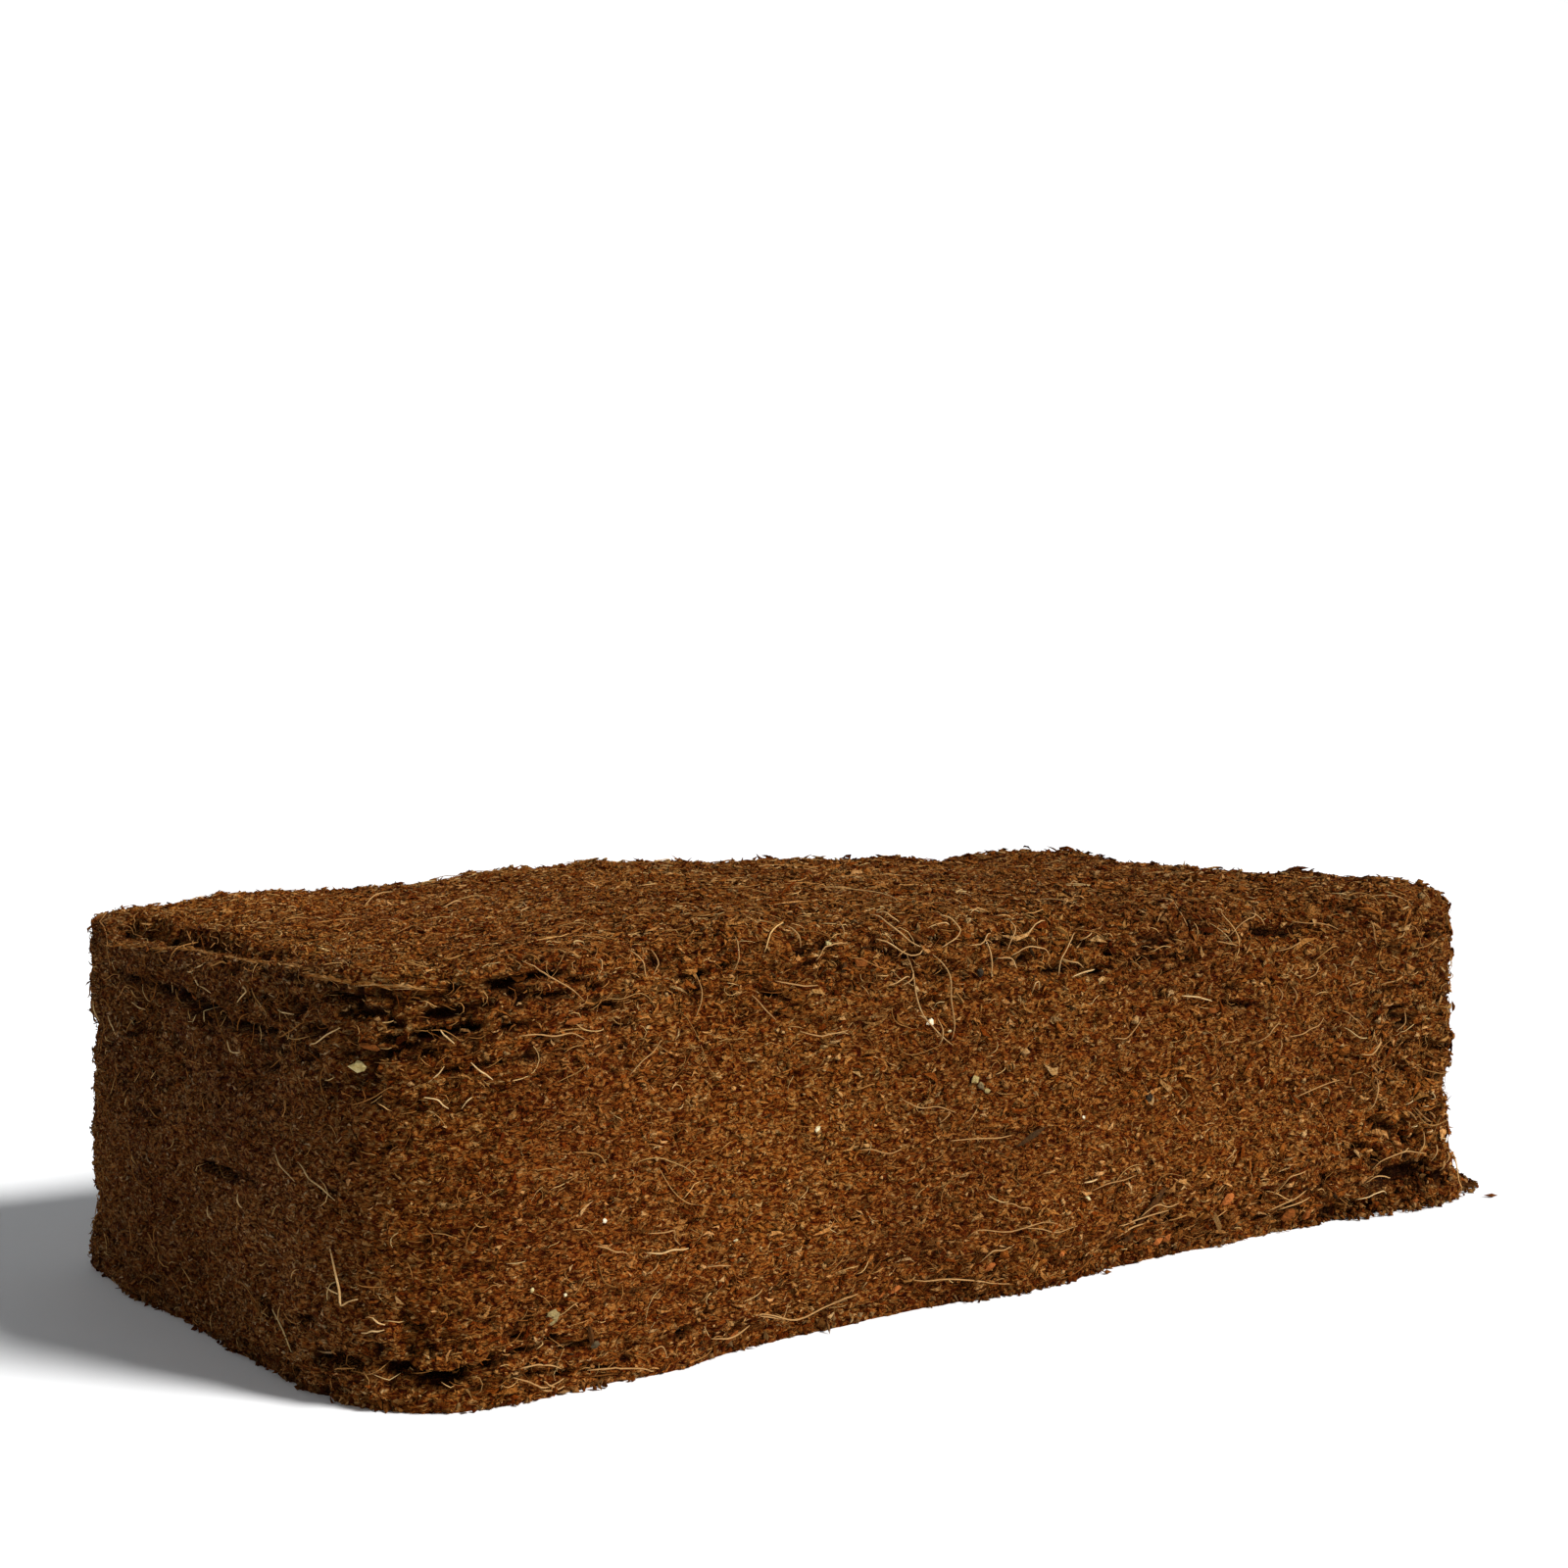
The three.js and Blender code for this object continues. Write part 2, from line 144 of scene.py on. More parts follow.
# Fibres that stand out in the photograph: half-thickness and rise in mm, tone from 0 to 1, and their routes
PLACED_FIBRES = [
    (0.12, 0.3, 0.9, [  # over the left end and the well-rounded corner
        ((194, 992), (216, 984)), ((198, 993), (207, 1004), (218, 1012)),
        ((245, 1023), (257, 1010), (247, 999)), ((138, 1023), (151, 1031)), ((98, 1022), (104, 1041)),
        ((113, 1034), (121, 1056)), ((287, 1031), (303, 1034)), ((319, 1067), (334, 1060), (348, 1046)),
        ((235, 1061), (240, 1072), (248, 1075)), ((449, 1051), (464, 1065)),
        ((437, 1105), (444, 1098), (453, 1088)), ((479, 1083), (490, 1091), (502, 1102)),
        ((429, 1118), (444, 1122), (458, 1132)), ((471, 1131), (476, 1122), (486, 1116)),
        ((284, 1177), (294, 1192), (303, 1204)), ((306, 1186), (325, 1208), (343, 1224)),
        ((215, 1232), (220, 1245)), ((246, 1217), (250, 1232)), ((335, 1312), (347, 1321)),
        ((381, 1344), (394, 1352)), ((370, 1360), (380, 1357), (394, 1357)),
    ]),
    (0.17, 0.5, 0.85, [
        ((339, 1276), (348, 1305), (352, 1337), (359, 1329), (370, 1327)),
        ((660, 1278), (682, 1275), (700, 1274)),
    ]),
    (0.09, 0.3, 0.5, [  # in the dark band over the shelf
        ((104, 931), (110, 944), (114, 956), (115, 975), (115, 988)),
        ((119, 944), (134, 950), (146, 959)), ((141, 934), (142, 954)), ((149, 949), (165, 951)),
        ((193, 948), (199, 956), (198, 967)), ((217, 954), (221, 964), (215, 970)),
        ((229, 962), (237, 972)), ((255, 960), (267, 956)), ((269, 965), (284, 964), (291, 966)),
        ((298, 968), (307, 979)), ((405, 955), (422, 949), (437, 956)),
    ]),
    (0.11, 0.4, 0.75, [  # on the top
        ((372, 926), (391, 915), (403, 913)), ((451, 929), (460, 927), (471, 923)),
        ((535, 937), (538, 923)),
        ((837, 909), (856, 908), (865, 912), (893, 916), (904, 919), (922, 926)),
        ((988, 934), (996, 932), (1005, 932)), ((963, 922), (982, 925)),
        ((1184, 920), (1198, 930), (1209, 944)), ((1060, 921), (1090, 925), (1104, 927)),
    ]),
    (0.12, 0.5, 0.7, [  # between the corner and the middle of the rim
        ((530, 983), (567, 999), (596, 1019)), ((607, 997), (609, 979)),
        ((526, 1056), (556, 1056), (578, 1050), (592, 1061)), ((640, 972), (652, 985), (657, 1000)),
        ((663, 972), (668, 985), (663, 998)), ((707, 990), (713, 1013), (710, 1038)),
        ((788, 1002), (810, 1003), (833, 1007)), ((762, 1012), (778, 1030), (790, 1040)),
        ((815, 1052), (837, 1057), (862, 1050)), ((800, 948), (812, 958), (815, 968)),
        ((750, 958), (752, 980), (745, 992)), ((640, 1096), (657, 1080), (672, 1062)),
        ((854, 944), (858, 950), (859, 957)), ((831, 981), (837, 967), (862, 962)),
    ]),
    (0.13, 0.7, 0.8, [  # the tangle at the front rim
        ((887, 936), (900, 948), (915, 955), (935, 965), (946, 971)),
        ((891, 960), (907, 971), (924, 978), (935, 974), (943, 965)),
        ((950, 972), (959, 985), (966, 1003), (968, 1028), (971, 1048), (970, 1063)),
        ((924, 978), (931, 995), (931, 1011), (936, 1031), (943, 1042), (957, 1056), (970, 1063)),
        ((943, 950), (957, 946), (968, 946)),
        ((960, 968), (973, 962), (977, 954), (968, 941), (957, 936)),
        ((988, 968), (999, 962), (1009, 953)), ((1003, 960), (1006, 981), (1010, 997)),
        ((1026, 972), (1030, 958), (1034, 950), (1030, 941)),
        ((1030, 976), (1047, 968), (1064, 968), (1069, 975)), ((1045, 957), (1054, 948), (1064, 941)),
        ((1078, 997), (1079, 975), (1090, 958), (1094, 953)), ((1016, 979), (1027, 978), (1036, 989)),
        ((918, 1006), (926, 999), (930, 992)), ((904, 1006), (914, 1001), (926, 997)),
        ((956, 1040), (958, 1052), (957, 1066)),
        ((1051, 1013), (1051, 1003), (1055, 1001), (1058, 1010)), ((1100, 960), (1112, 952)),
        ((1080, 978), (1095, 984), (1104, 988)), ((893, 935), (906, 941), (917, 943)),
    ]),
    (0.17, 0.4, 0.9, [
        ((1092, 997), (1103, 993), (1115, 990)), ((1205, 1018), (1220, 1018), (1234, 1021)),
        ((1104, 1207), (1118, 1202)),
    ]),
    (0.12, 0.4, 0.65, [  # over the middle of the front
        ((1134, 1060), (1146, 1059), (1156, 1048), (1163, 1039)),
        ((914, 1120), (920, 1126), (935, 1128), (955, 1130), (972, 1132)), ((957, 1145), (968, 1134)),
        ((983, 1145), (995, 1132)), ((877, 1173), (897, 1176), (917, 1172)),
        ((967, 1163), (1000, 1161), (1030, 1160)), ((1023, 1227), (1036, 1228), (1052, 1234)),
        ((985, 1262), (996, 1253), (1030, 1251), (1066, 1249), (1080, 1251)),
        ((1040, 1253), (1066, 1256), (1098, 1250)), ((1113, 1212), (1130, 1205), (1157, 1201)),
        ((1062, 1196), (1075, 1193)), ((605, 1272), (620, 1275), (640, 1279)),
        ((660, 1258), (680, 1253), (686, 1252), (683, 1262), (694, 1270)), ((658, 1300), (670, 1288)),
        ((720, 1292), (745, 1291)),
    ]),
    (0.13, 0.4, 0.7, [  # low on the front
        ((526, 1394), (556, 1391), (570, 1396)), ((539, 1420), (556, 1412), (574, 1405)),
        ((545, 1411), (556, 1415), (567, 1424)), ((553, 1408), (556, 1422)),
        ((600, 1396), (620, 1395), (655, 1392), (668, 1395)), ((660, 1380), (672, 1372), (680, 1384)),
        ((770, 1357), (785, 1354), (810, 1344), (840, 1330), (862, 1326)),
        ((784, 1356), (796, 1343), (802, 1330)), ((722, 1366), (745, 1360), (762, 1350)),
        ((847, 1328), (858, 1322), (873, 1318)),
        ((927, 1304), (950, 1302), (977, 1303), (1000, 1312), (1030, 1308)),
        ((997, 1287), (1007, 1275), (1033, 1269)), ((1160, 1240), (1180, 1228), (1200, 1228)),
        ((1140, 1250), (1155, 1243), (1190, 1234)), ((1135, 1262), (1150, 1250), (1166, 1246)),
        ((1303, 1232), (1320, 1226), (1333, 1222)), ((1299, 1218), (1311, 1199), (1329, 1194)),
        ((1292, 1232), (1320, 1220), (1332, 1212)), ((1248, 1184), (1257, 1174)),
    ]),
    (0.13, 0.5, 0.65, [  # high on the right
        ((1253, 961), (1262, 951), (1271, 942), (1279, 939), (1278, 928)), ((1271, 934), (1288, 945)),
        ((1240, 960), (1250, 963), (1260, 966)), ((1300, 969), (1315, 968), (1326, 964), (1339, 965)),
        ((1318, 943), (1339, 944), (1363, 949)), ((1397, 939), (1397, 948), (1402, 963)),
        ((1421, 958), (1432, 950)), ((1311, 994), (1317, 985)), ((1329, 999), (1338, 994), (1344, 985)),
        ((1301, 1006), (1304, 1014), (1302, 1023)), ((1316, 1006), (1319, 1016), (1317, 1026)),
        ((1374, 1006), (1386, 1001)), ((1409, 1004), (1432, 994)),
        ((1367, 1030), (1382, 1041), (1389, 1049)), ((1431, 1031), (1429, 1044), (1422, 1052)),
        ((1397, 1071), (1407, 1059)), ((1409, 1026), (1419, 1023)), ((1246, 1064), (1260, 1060)),
        ((1280, 1063), (1292, 1054), (1303, 1042)), ((1301, 1076), (1305, 1060)),
        ((1313, 1059), (1339, 1048), (1349, 1038)), ((1318, 1120), (1341, 1110), (1364, 1103)),
    ]),
    (0.14, 0.5, 0.75, [  # over the right end of the front
        ((1401, 1098), (1402, 1109), (1398, 1126), (1394, 1134)),
        ((1387, 1075), (1395, 1075), (1407, 1063)),
        ((1399, 1191), (1405, 1182), (1418, 1178), (1429, 1176), (1442, 1175), (1453, 1173)),
        ((1444, 1180), (1448, 1169), (1452, 1155)), ((1458, 1185), (1462, 1176), (1464, 1167)),
        ((1467, 1194), (1471, 1185)), ((1472, 1188), (1475, 1175)), ((1427, 1176), (1435, 1171)),
        ((1391, 1205), (1402, 1200), (1418, 1199)),
    ]),
    (0.2, 0.2, 0.6, [
        ((1434, 1133), (1444, 1142)), ((1442, 1130), (1449, 1138)), ((1450, 1139), (1457, 1144)),
        ((1457, 1134), (1462, 1141)), ((1397, 1086), (1403, 1095)), ((1403, 1096), (1407, 1086)),
    ]),
    (0.1, 0.5, 1.0, [  # pale curls at the right end
        ((1437, 1112), (1441, 1109), (1444, 1111)),
        ((1451, 1117), (1455, 1113), (1460, 1118), (1461, 1122), (1458, 1121)),
        ((1432, 1127), (1436, 1124), (1440, 1123)), ((1450, 1129), (1455, 1128)),
        ((1438, 1150), (1444, 1148)), ((1454, 1155), (1459, 1152)),
        ((1467, 1161), (1471, 1162), (1470, 1167)),
        ((1383, 1221), (1394, 1219), (1398, 1215), (1408, 1212), (1413, 1217)),
    ]),
]

# Stones and flakes that stand out: pixel, half-sizes along, across and out in mm, turn in degrees, and tone
PLACED_STONES = [
    ((366, 1088), (1.15, 0.8, 0.5), 0, 0.75),
    ((563, 1343), (1.2, 0.95, 0.4), 40, 0.5),
    ((994, 1102), (0.75, 0.5, 0.4), 20, 0.6),
    ((1000, 1108), (0.7, 0.5, 0.4), -40, 0.45),
    ((1006, 1113), (0.5, 0.35, 0.3), 10, 0.6),
    ((948, 1043), (0.6, 0.5, 0.4), 20, 1.0),
    ((968, 1052), (0.35, 0.25, 0.3), 0, 0.85),
    ((1104, 1140), (0.3, 0.3, 0.3), 0, 1.0),
    ((833, 1152), (0.5, 0.3, 0.3), 40, 0.85),
    ((999, 992), (0.65, 0.6, 0.4), 0, 0.02),
    ((844, 964), (0.5, 0.3, 0.3), 10, 0.8),
    ((616, 1245), (0.32, 0.28, 0.25), 0, 1.0),
    ((576, 1321), (0.25, 0.22, 0.2), 0, 0.9),
    ((542, 1316), (0.35, 0.25, 0.25), 60, 0.8),
    ((750, 1265), (0.3, 0.2, 0.25), 0, 0.9),
    ((1171, 1120), (0.9, 0.5, 0.3), 40, 0.02),
    ((1109, 1222), (0.6, 0.28, 0.25), -35, 0.85),
    ((606, 1371), (0.6, 0.5, 0.3), 0, 0.2),
]
PLACED_FLAKES = [
    ((1052, 1159), (2.7, 0.5, 0.3), 18, 0.03),
    ((602, 1362), (0.4, 1.4, 0.3), 8, 0.2),
    ((877, 982), (1.2, 0.6, 0.4), 10, 0.5),
    ((1236, 1031), (1.0, 0.5, 0.4), 0, 0.5),
    ((1008, 1292), (1.1, 0.7, 0.4), 0, 0.7),
    ((898, 1319), (1.0, 0.5, 0.4), 25, 0.7),
    ((912, 1315), (1.3, 0.5, 0.4), 10, 0.85),
    ((585, 1042), (1.3, 0.4, 0.3), 5, 0.5),
    ((378, 1068), (1.6, 0.4, 0.3), -8, 0.42),
    ((860, 988), (0.9, 0.4, 0.3), 60, 0.1),
    ((1178, 1225), (3.6, 0.6, 0.3), 34, 0.1),
    ((1168, 1238), (2.6, 0.5, 0.3), 38, 0.2),
    ((1150, 1262), (2.4, 0.5, 0.3), 30, 0.15),
    ((1332, 1238), (1.2, 0.8, 0.5), 40, 0.6),
    ((1326, 1248), (1.4, 1.0, 0.6), 10, 0.5),
    ((1452, 1232), (1.2, 0.6, 0.5), 10, 0.6),
    ((1180, 1266), (0.9, 0.5, 0.4), 20, 0.9),
    ((1190, 1262), (0.7, 0.5, 0.4), 50, 0.8),
    ((760, 1380), (1.4, 0.5, 0.4), 15, 0.55),
    ((935, 958), (1.4, 0.35, 0.3), -25, 0.3),
    ((1252, 1223), (1.5, 0.9, 0.5), 15, 0.85),
    ((1082, 1279), (0.5, 0.4, 0.3), 0, 0.95),
]

# The heap of crumbs at the right end of the front: middle, radius and height of its mounds, in mm
HEAP = [
    (74, -47.5, 3.5, 2.2),
    (79, -47.5, 4, 3.6),
    (85, -48, 4.2, 5.6),
    (90, -48, 4.5, 7.2),
    (95.5, -47.5, 4.2, 6.6),
    (99.5, -46.5, 4, 5.2),
    (103.5, -46.5, 3, 2.6),
    (106.5, -46, 2, 1.3),
    (101.6, -43, 3.4, 3.6),
    (101.2, -38.5, 3, 2.4),
]
# Crumbs alone on the floor: middle, then half-sizes along and across, in mm
LONE_CRUMBS = [
    (103.4, -53.5, 1.15, 0.5),
    (-55.6, -48.9, 1.05, 0.5),
    (17.5, -49.4, 0.5, 0.4),
    (46, -48.3, 0.5, 0.4),
]

TINY = 1e-12  # keeps a length of 0 from dividing


def unit(vectors):
    """Rows of an array, each brought to length 1."""
    return vectors / np.maximum(np.linalg.norm(vectors, axis=-1, keepdims=True), TINY)


def square_to(axes, vectors):
    """The vectors turned square to the axes, at length 1."""
    return unit(vectors - axes * (vectors * axes).sum(axis=-1, keepdims=True))


def frames_on(normals, headings):
    """Three axes for each point: along the skin as the heading says, across it, and out of it."""
    first = square_to(normals, headings)
    return np.stack([first, np.cross(normals, first), normals], axis=2)


# Noise

NOISE_GAIN = 1.6
GRADIENTS = unit(np.random.default_rng(7).normal(size=(256, 3)))
HASH_PRIMES = (73856093, 19349663, 83492791, 2971215073)  # for X, Y, Z and the seed
HASH_MIX = 1274126177
HASH_MASK = 0x7FFFFFFF
SHARE_STEPS = 1000  # how finely a lattice cell's own share is told


def hashed(cells, seed, count):
    """A repeatable whole number below count for each lattice cell."""
    a, b, c, d = HASH_PRIMES
    h = cells[:, 0] * a ^ cells[:, 1] * b ^ cells[:, 2] * c ^ seed * d
    h = (h ^ (h >> 13)) * HASH_MIX
    return ((h ^ (h >> 16)) & HASH_MASK) % count


def cell_share(cells, seed):
    """A repeatable share from 0 to 1 for each lattice cell."""
    return hashed(cells, seed, SHARE_STEPS) / SHARE_STEPS


def lumpy(points, size, seed):
    """Smooth noise from about -1 to 1. The size of its lumps is one number, or one for each axis."""
    p = points / size
    cell = np.floor(p).astype(np.int64)
    f = p - cell
    fade = f**3 * (f * (f * 6 - 15) + 10)
    total = np.zeros(len(p))
    for corner in np.ndindex(2, 2, 2):
        corner = np.array(corner)
        weight = np.prod(np.where(corner, fade, 1 - fade), axis=1)
        gradient = GRADIENTS[hashed(cell + corner, seed, len(GRADIENTS))]
        total += weight * np.einsum("ij,ij->i", gradient, f - corner)
    return NOISE_GAIN * total


def crumbly(points, size, seed):
    """Cells of about the given size: how far the nearest middle is, and that cell's own share."""
    p = points / size
    cell = np.floor(p).astype(np.int64)
    nearest = np.full(len(p), np.inf)
    number = np.zeros(len(p))
    for offset in np.ndindex(3, 3, 3):
        near = cell + np.array(offset) - 1
        middle = near + np.stack([cell_share(near, seed + i) for i in range(3)], axis=1)
        distance = np.linalg.norm(middle - p, axis=1)
        closer = distance < nearest
        nearest = np.where(closer, distance, nearest)
        number = np.where(closer, cell_share(near, seed + 3), number)
    return nearest, number


# Meshes


def in_scene(name, data):
    """A new object that shows a mesh, a light or a camera."""
    thing = bpy.data.objects.new(name, data)
    bpy.context.scene.collection.objects.link(thing)
    return thing


def turn_towards(thing, direction, axis):
    """Points one axis of an object in a direction, with its Y upwards."""
    thing.rotation_mode = "QUATERNION"
    thing.rotation_quaternion = Vector(direction).to_track_quat(axis, "Y")


def add_shares(mesh, name, values):
    """A share from 0 to 1 at each vertex, for the material to read."""
    layer = mesh.attributes.new(name, "FLOAT", "POINT")
    layer.data.foreach_set("value", values.astype(np.float32))


def make_piece(name, vertices, triangles, uv, hollow, material, smooth=False, tone=None):
    """A piece of the object from arrays: vertices in mm, triangles, a UV pair for each corner, how far each
    vertex is darkened, from 0 to 1, by painted shade and on crumbs partly by their own dark colour, and its
    place on the colour ramp where that is chosen."""
    mesh = bpy.data.meshes.new(name)
    mesh.vertices.add(len(vertices))
    mesh.vertices.foreach_set("co", (vertices * MM).astype(np.float32).ravel())
    mesh.loops.add(triangles.size)
    mesh.loops.foreach_set("vertex_index", triangles.astype(np.int32).ravel())
    mesh.polygons.add(len(triangles))
    mesh.polygons.foreach_set("loop_start", np.arange(0, triangles.size, 3, dtype=np.int32))
    mesh.polygons.foreach_set("use_smooth", np.full(len(triangles), smooth))
    mesh.update(calc_edges=True)
    layer = mesh.uv_layers.new(name="OFBake")
    layer.data.foreach_set("uv", uv.astype(np.float32).ravel())
    add_shares(mesh, "hollow", hollow)
    if tone is not None:
        add_shares(mesh, "tone", tone)
    mesh.materials.append(material)
    piece = in_scene(name, mesh)
    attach(piece, BODY)
    return piece


CELL_TRIANGLE = np.array([[0.25, 0.25], [0.75, 0.25], [0.5, 0.75]])


def islands_of(vertices, faces):
    """Many small closed forms of the same faces as one mesh, with none lower than the floor: vertices,
    triangles and UVs. Each form has one little cell of the map, so that it bakes in its own colour."""
    count, size, _ = vertices.shape
    vertices[..., 2] = np.maximum(vertices[..., 2], FLOOR_GAP)
    triangles = faces[None] + (np.arange(count) * size)[:, None, None]
    across = math.ceil(math.sqrt(count))
    cell = np.stack(np.divmod(np.arange(count), across), axis=1)[:, None, None, :]
    uv = np.broadcast_to((cell + CELL_TRIANGLE) / across, (count, len(faces), 3, 2))
    return vertices.reshape(-1, 3), triangles.reshape(-1, 3), uv.reshape(-1, 3, 2)


def tree_of(vertices, triangles):
    """A skin in mm that rays are cast at and nearest points are found on."""
    return BVHTree.FromPolygons(vertices.tolist(), triangles.tolist())


def vertex_normals(vertices, triangles):
    a, b, c = (vertices[triangles[:, i]] for i in range(3))
    face = np.cross(b - a, c - a)
    normals = np.zeros_like(vertices)
    for i in range(3):
        for axis in range(3):
            normals[:, axis] += np.bincount(triangles[:, i], face[:, axis], len(vertices))
    return unit(normals)


def cad_tree():
    """The solid's own skin."""
    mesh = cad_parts[NODE].data
    vertices = np.array([v.co for v in mesh.vertices]) / MM
    mesh.calc_loop_triangles()
    triangles = np.array([t.vertices for t in mesh.loop_triangles])
    return tree_of(vertices, triangles)


def camera_axes():
    """The camera's right, up and forward directions."""
    across = np.array([math.cos(CAMERA_AZIMUTH), -math.sin(CAMERA_AZIMUTH), 0])
    level = np.array([math.sin(CAMERA_AZIMUTH), math.cos(CAMERA_AZIMUTH), 0])
    ahead = math.cos(CAMERA_PITCH) * level - math.sin(CAMERA_PITCH) * np.array([0, 0, 1])
    return across, np.cross(across, ahead), ahead


MISS_REACHES = range(260, 521, 10)  # mm from the camera


def beside_skin(tree, ray):
    """The place on a skin that a ray from the camera misses by least, and the skin's normal there."""
    found = [tree.find_nearest(Vector(CAMERA_PLACE + ray * reach)) for reach in MISS_REACHES]
    return min(found, key=lambda hit: hit[3])[:2]


def seen_at(tree, pixels):
    """Where the photograph's pixels lie on a skin, and the skin's normals there."""
    right, up, ahead = camera_axes()
    places, outs = [], []
    for x, y in pixels:
        ray = CAMERA_FOCUS * ahead + (x - PICTURE / 2) * right - (y - PICTURE / 2) * up
        place, out, _, _ = tree.ray_cast(Vector(CAMERA_PLACE), Vector(unit(ray)))
        if place is None:
            place, out = beside_skin(tree, unit(ray))
        places.append(place)
        outs.append(out)
    return np.array(places), np.array(outs)


# The body


def round_edge(a, b, radius):
    """Rounds a square edge for points a from its first face and b from its second. The turn is 0 where the
    skin faces as the first does, and 1 where it faces as the second."""
    reach = a + b
    side = np.where(a > b, 1.0, -1.0)
    inside = reach < radius
    turn = np.where(inside, (1 + side * reach / radius) / 2, (1 + side) / 2)
    angle = turn * math.pi / 2
    a = np.where(inside, radius * (1 - np.cos(angle)), a)
    b = np.where(inside, radius * (1 - np.sin(angle)), b)
    return a, b, turn


RING_LEAST = 1e-9  # keeps the middle of a round corner from dividing by 0


def round_plan(x, y):
    """Where points of the sharp rectangle lie in the plan with round corners: x, y, the distance from the
    rim, and the rim's outward direction."""
    sign_x = np.where(x < 0, -1.0, 1.0)
    sign_y = np.where(y < 0, -1.0, 1.0)
    radius = np.zeros_like(x)
    for (sx, sy), corner in CORNER_RADII.items():
        radius[(sign_x == sx) & (sign_y == sy)] = corner
    from_end = LENGTH / 2 - abs(x)
    from_side = WIDTH / 2 - abs(y)
    nearer = np.minimum(from_end, from_side)
    in_corner = np.maximum(from_end, from_side) < radius
    ring = np.maximum(1 - nearer / radius, RING_LEAST)
    a = np.maximum(0, radius - (radius - from_end) / ring)
    b = np.maximum(0, radius - (radius - from_side) / ring)
    a, b, turn = round_edge(a, b, radius)
    turn = np.where(in_corner, turn, np.where(from_end < from_side, 0, 1))
    round_x = sign_x * (LENGTH / 2 - radius + ring * (radius - a))
    round_y = sign_y * (WIDTH / 2 - radius + ring * (radius - b))
    x = np.where(in_corner, round_x, x)
    y = np.where(in_corner, round_y, y)
    inset = np.where(in_corner, (1 - ring) * radius, nearer)
    angle = turn * math.pi / 2
    return x, y, inset, sign_x * np.cos(angle), sign_y * np.sin(angle)


def plain_block(points):
    """Points of the sharp block moved to the one with round corners and edges, with their normals."""
    x, y, inset, out_x, out_y = round_plan(points[:, 0], points[:, 1])
    from_top = HEIGHT - points[:, 2]
    upper = from_top < points[:, 2]
    radius = np.where(upper, np.interp(points[:, 0], RIM_GROWS, RIM_RADII), FOOT_RADIUS)
    a, b, turn = round_edge(inset, np.where(upper, from_top, points[:, 2]), radius)
    moved = a - inset
    z = np.where(upper, HEIGHT - b, b)
    angle = turn * math.pi / 2
    rise = np.where(upper, 1, -1) * np.sin(angle)
    normal = np.stack([out_x * np.cos(angle), out_y * np.cos(angle), rise], axis=1)
    return np.stack([x - out_x * moved, y - out_y * moved, z], axis=1), normal


# Where each face's corner and the underside's middle lie on the body's flat map, and its size, in mm
MAP_PLACES = {"top": (1, 1), "front": (1, 103), "back": (1, 160), "left": (1, 217), "right": (103, 217)}
MAP_UNDERSIDE = (203 + WIDTH / 2 + 2, 3 + LENGTH / 2)
MAP_SIZE = 310.0


def box_grid():
    """A box grid without its underside: lattice points from 0 to 1, triangles facing out, their UVs in mm
    on the flat map, and the loop of vertices round the foot."""
    cells = [round(side / CELL) for side in (LENGTH, WIDTH, HEIGHT)]
    nx, ny, nz = cells
    shown = np.zeros((nx + 1, ny + 1, nz + 1), bool)
    shown[[0, -1]] = True
    shown[:, [0, -1]] = True
    shown[:, :, -1] = True
    number = np.full(shown.shape, -1)
    number[shown] = np.arange(shown.sum())
    lattice = np.argwhere(shown) / cells
    triangles, uv = [], []

    def add_sheet(sheet, across, up, place, outward):
        """One face of the box. across and up are the axes of the lattice that run along its map."""
        a, b, c, d = sheet[:-1, :-1], sheet[1:, :-1], sheet[1:, 1:], sheet[:-1, 1:]
        quads = np.stack([a, b, c, d], axis=-1).reshape(-1, 4)
        if not outward:
            quads = quads[:, ::-1]
        made = np.concatenate([quads[:, [0, 1, 2]], quads[:, [0, 2, 3]]])
        size = np.array([LENGTH, WIDTH, HEIGHT])
        triangles.append(made)
        uv.append(lattice[made][:, :, [across, up]] * size[[across, up]] + place)

    add_sheet(number[:, :, -1], 0, 1, MAP_PLACES["top"], True)
    add_sheet(number[:, 0, :], 0, 2, MAP_PLACES["front"], True)
    add_sheet(number[:, -1, :], 0, 2, MAP_PLACES["back"], False)
    add_sheet(number[0], 1, 2, MAP_PLACES["left"], False)
    add_sheet(number[-1], 1, 2, MAP_PLACES["right"], True)
    ends = [number[:-1, 0, 0], number[-1, :-1, 0], number[:0:-1, -1, 0], number[0, :0:-1, 0]]
    return lattice, np.concatenate(triangles), np.concatenate(uv), np.concatenate(ends)


CAST_FROM = 9.0  # rays at the solid start this far outside the plain block
TOP_INSET = 0.93  # rays that find the top's height keep this share of the block's plan
TOP_PASSES = 40  # averaging that leaves the broad form of the top
CLOSE_PASSES = 2  # dips narrower than about twice this many cells count as fissures
CALM_PASSES = 8  # averaging that takes the solid's flat facets away
HOLLOW_PASSES = 6  # averaging that tells which crumbs lie lower than those round them
FISSURE_START = 0.35  # dips shallower than this, in mm, don't count
FISSURE_DEPTH = 4.5  # the deepest that a fissure is cut
ON_TOP = 0.2  # the skin counts as top where its normal rises more than this


def edges_of(triangles):
    """Each edge of a mesh once, as the numbers of its two ends."""
    pairs = np.concatenate([triangles[:, [0, 1]], triangles[:, [1, 2]], triangles[:, [2, 0]]])
    return np.unique(np.sort(pairs, axis=1), axis=0)


def averaged(values, edges, passes, share=0.5):
    """Averages each vertex's value with those of its neighbours."""
    first, second = edges.T
    count = len(values)
    neighbours = np.bincount(first, minlength=count) + np.bincount(second, minlength=count)
    for _ in range(passes):
        total = np.bincount(first, values[second], count) + np.bincount(second, values[first], count)
        values = values + share * (total / neighbours - values)
    return values


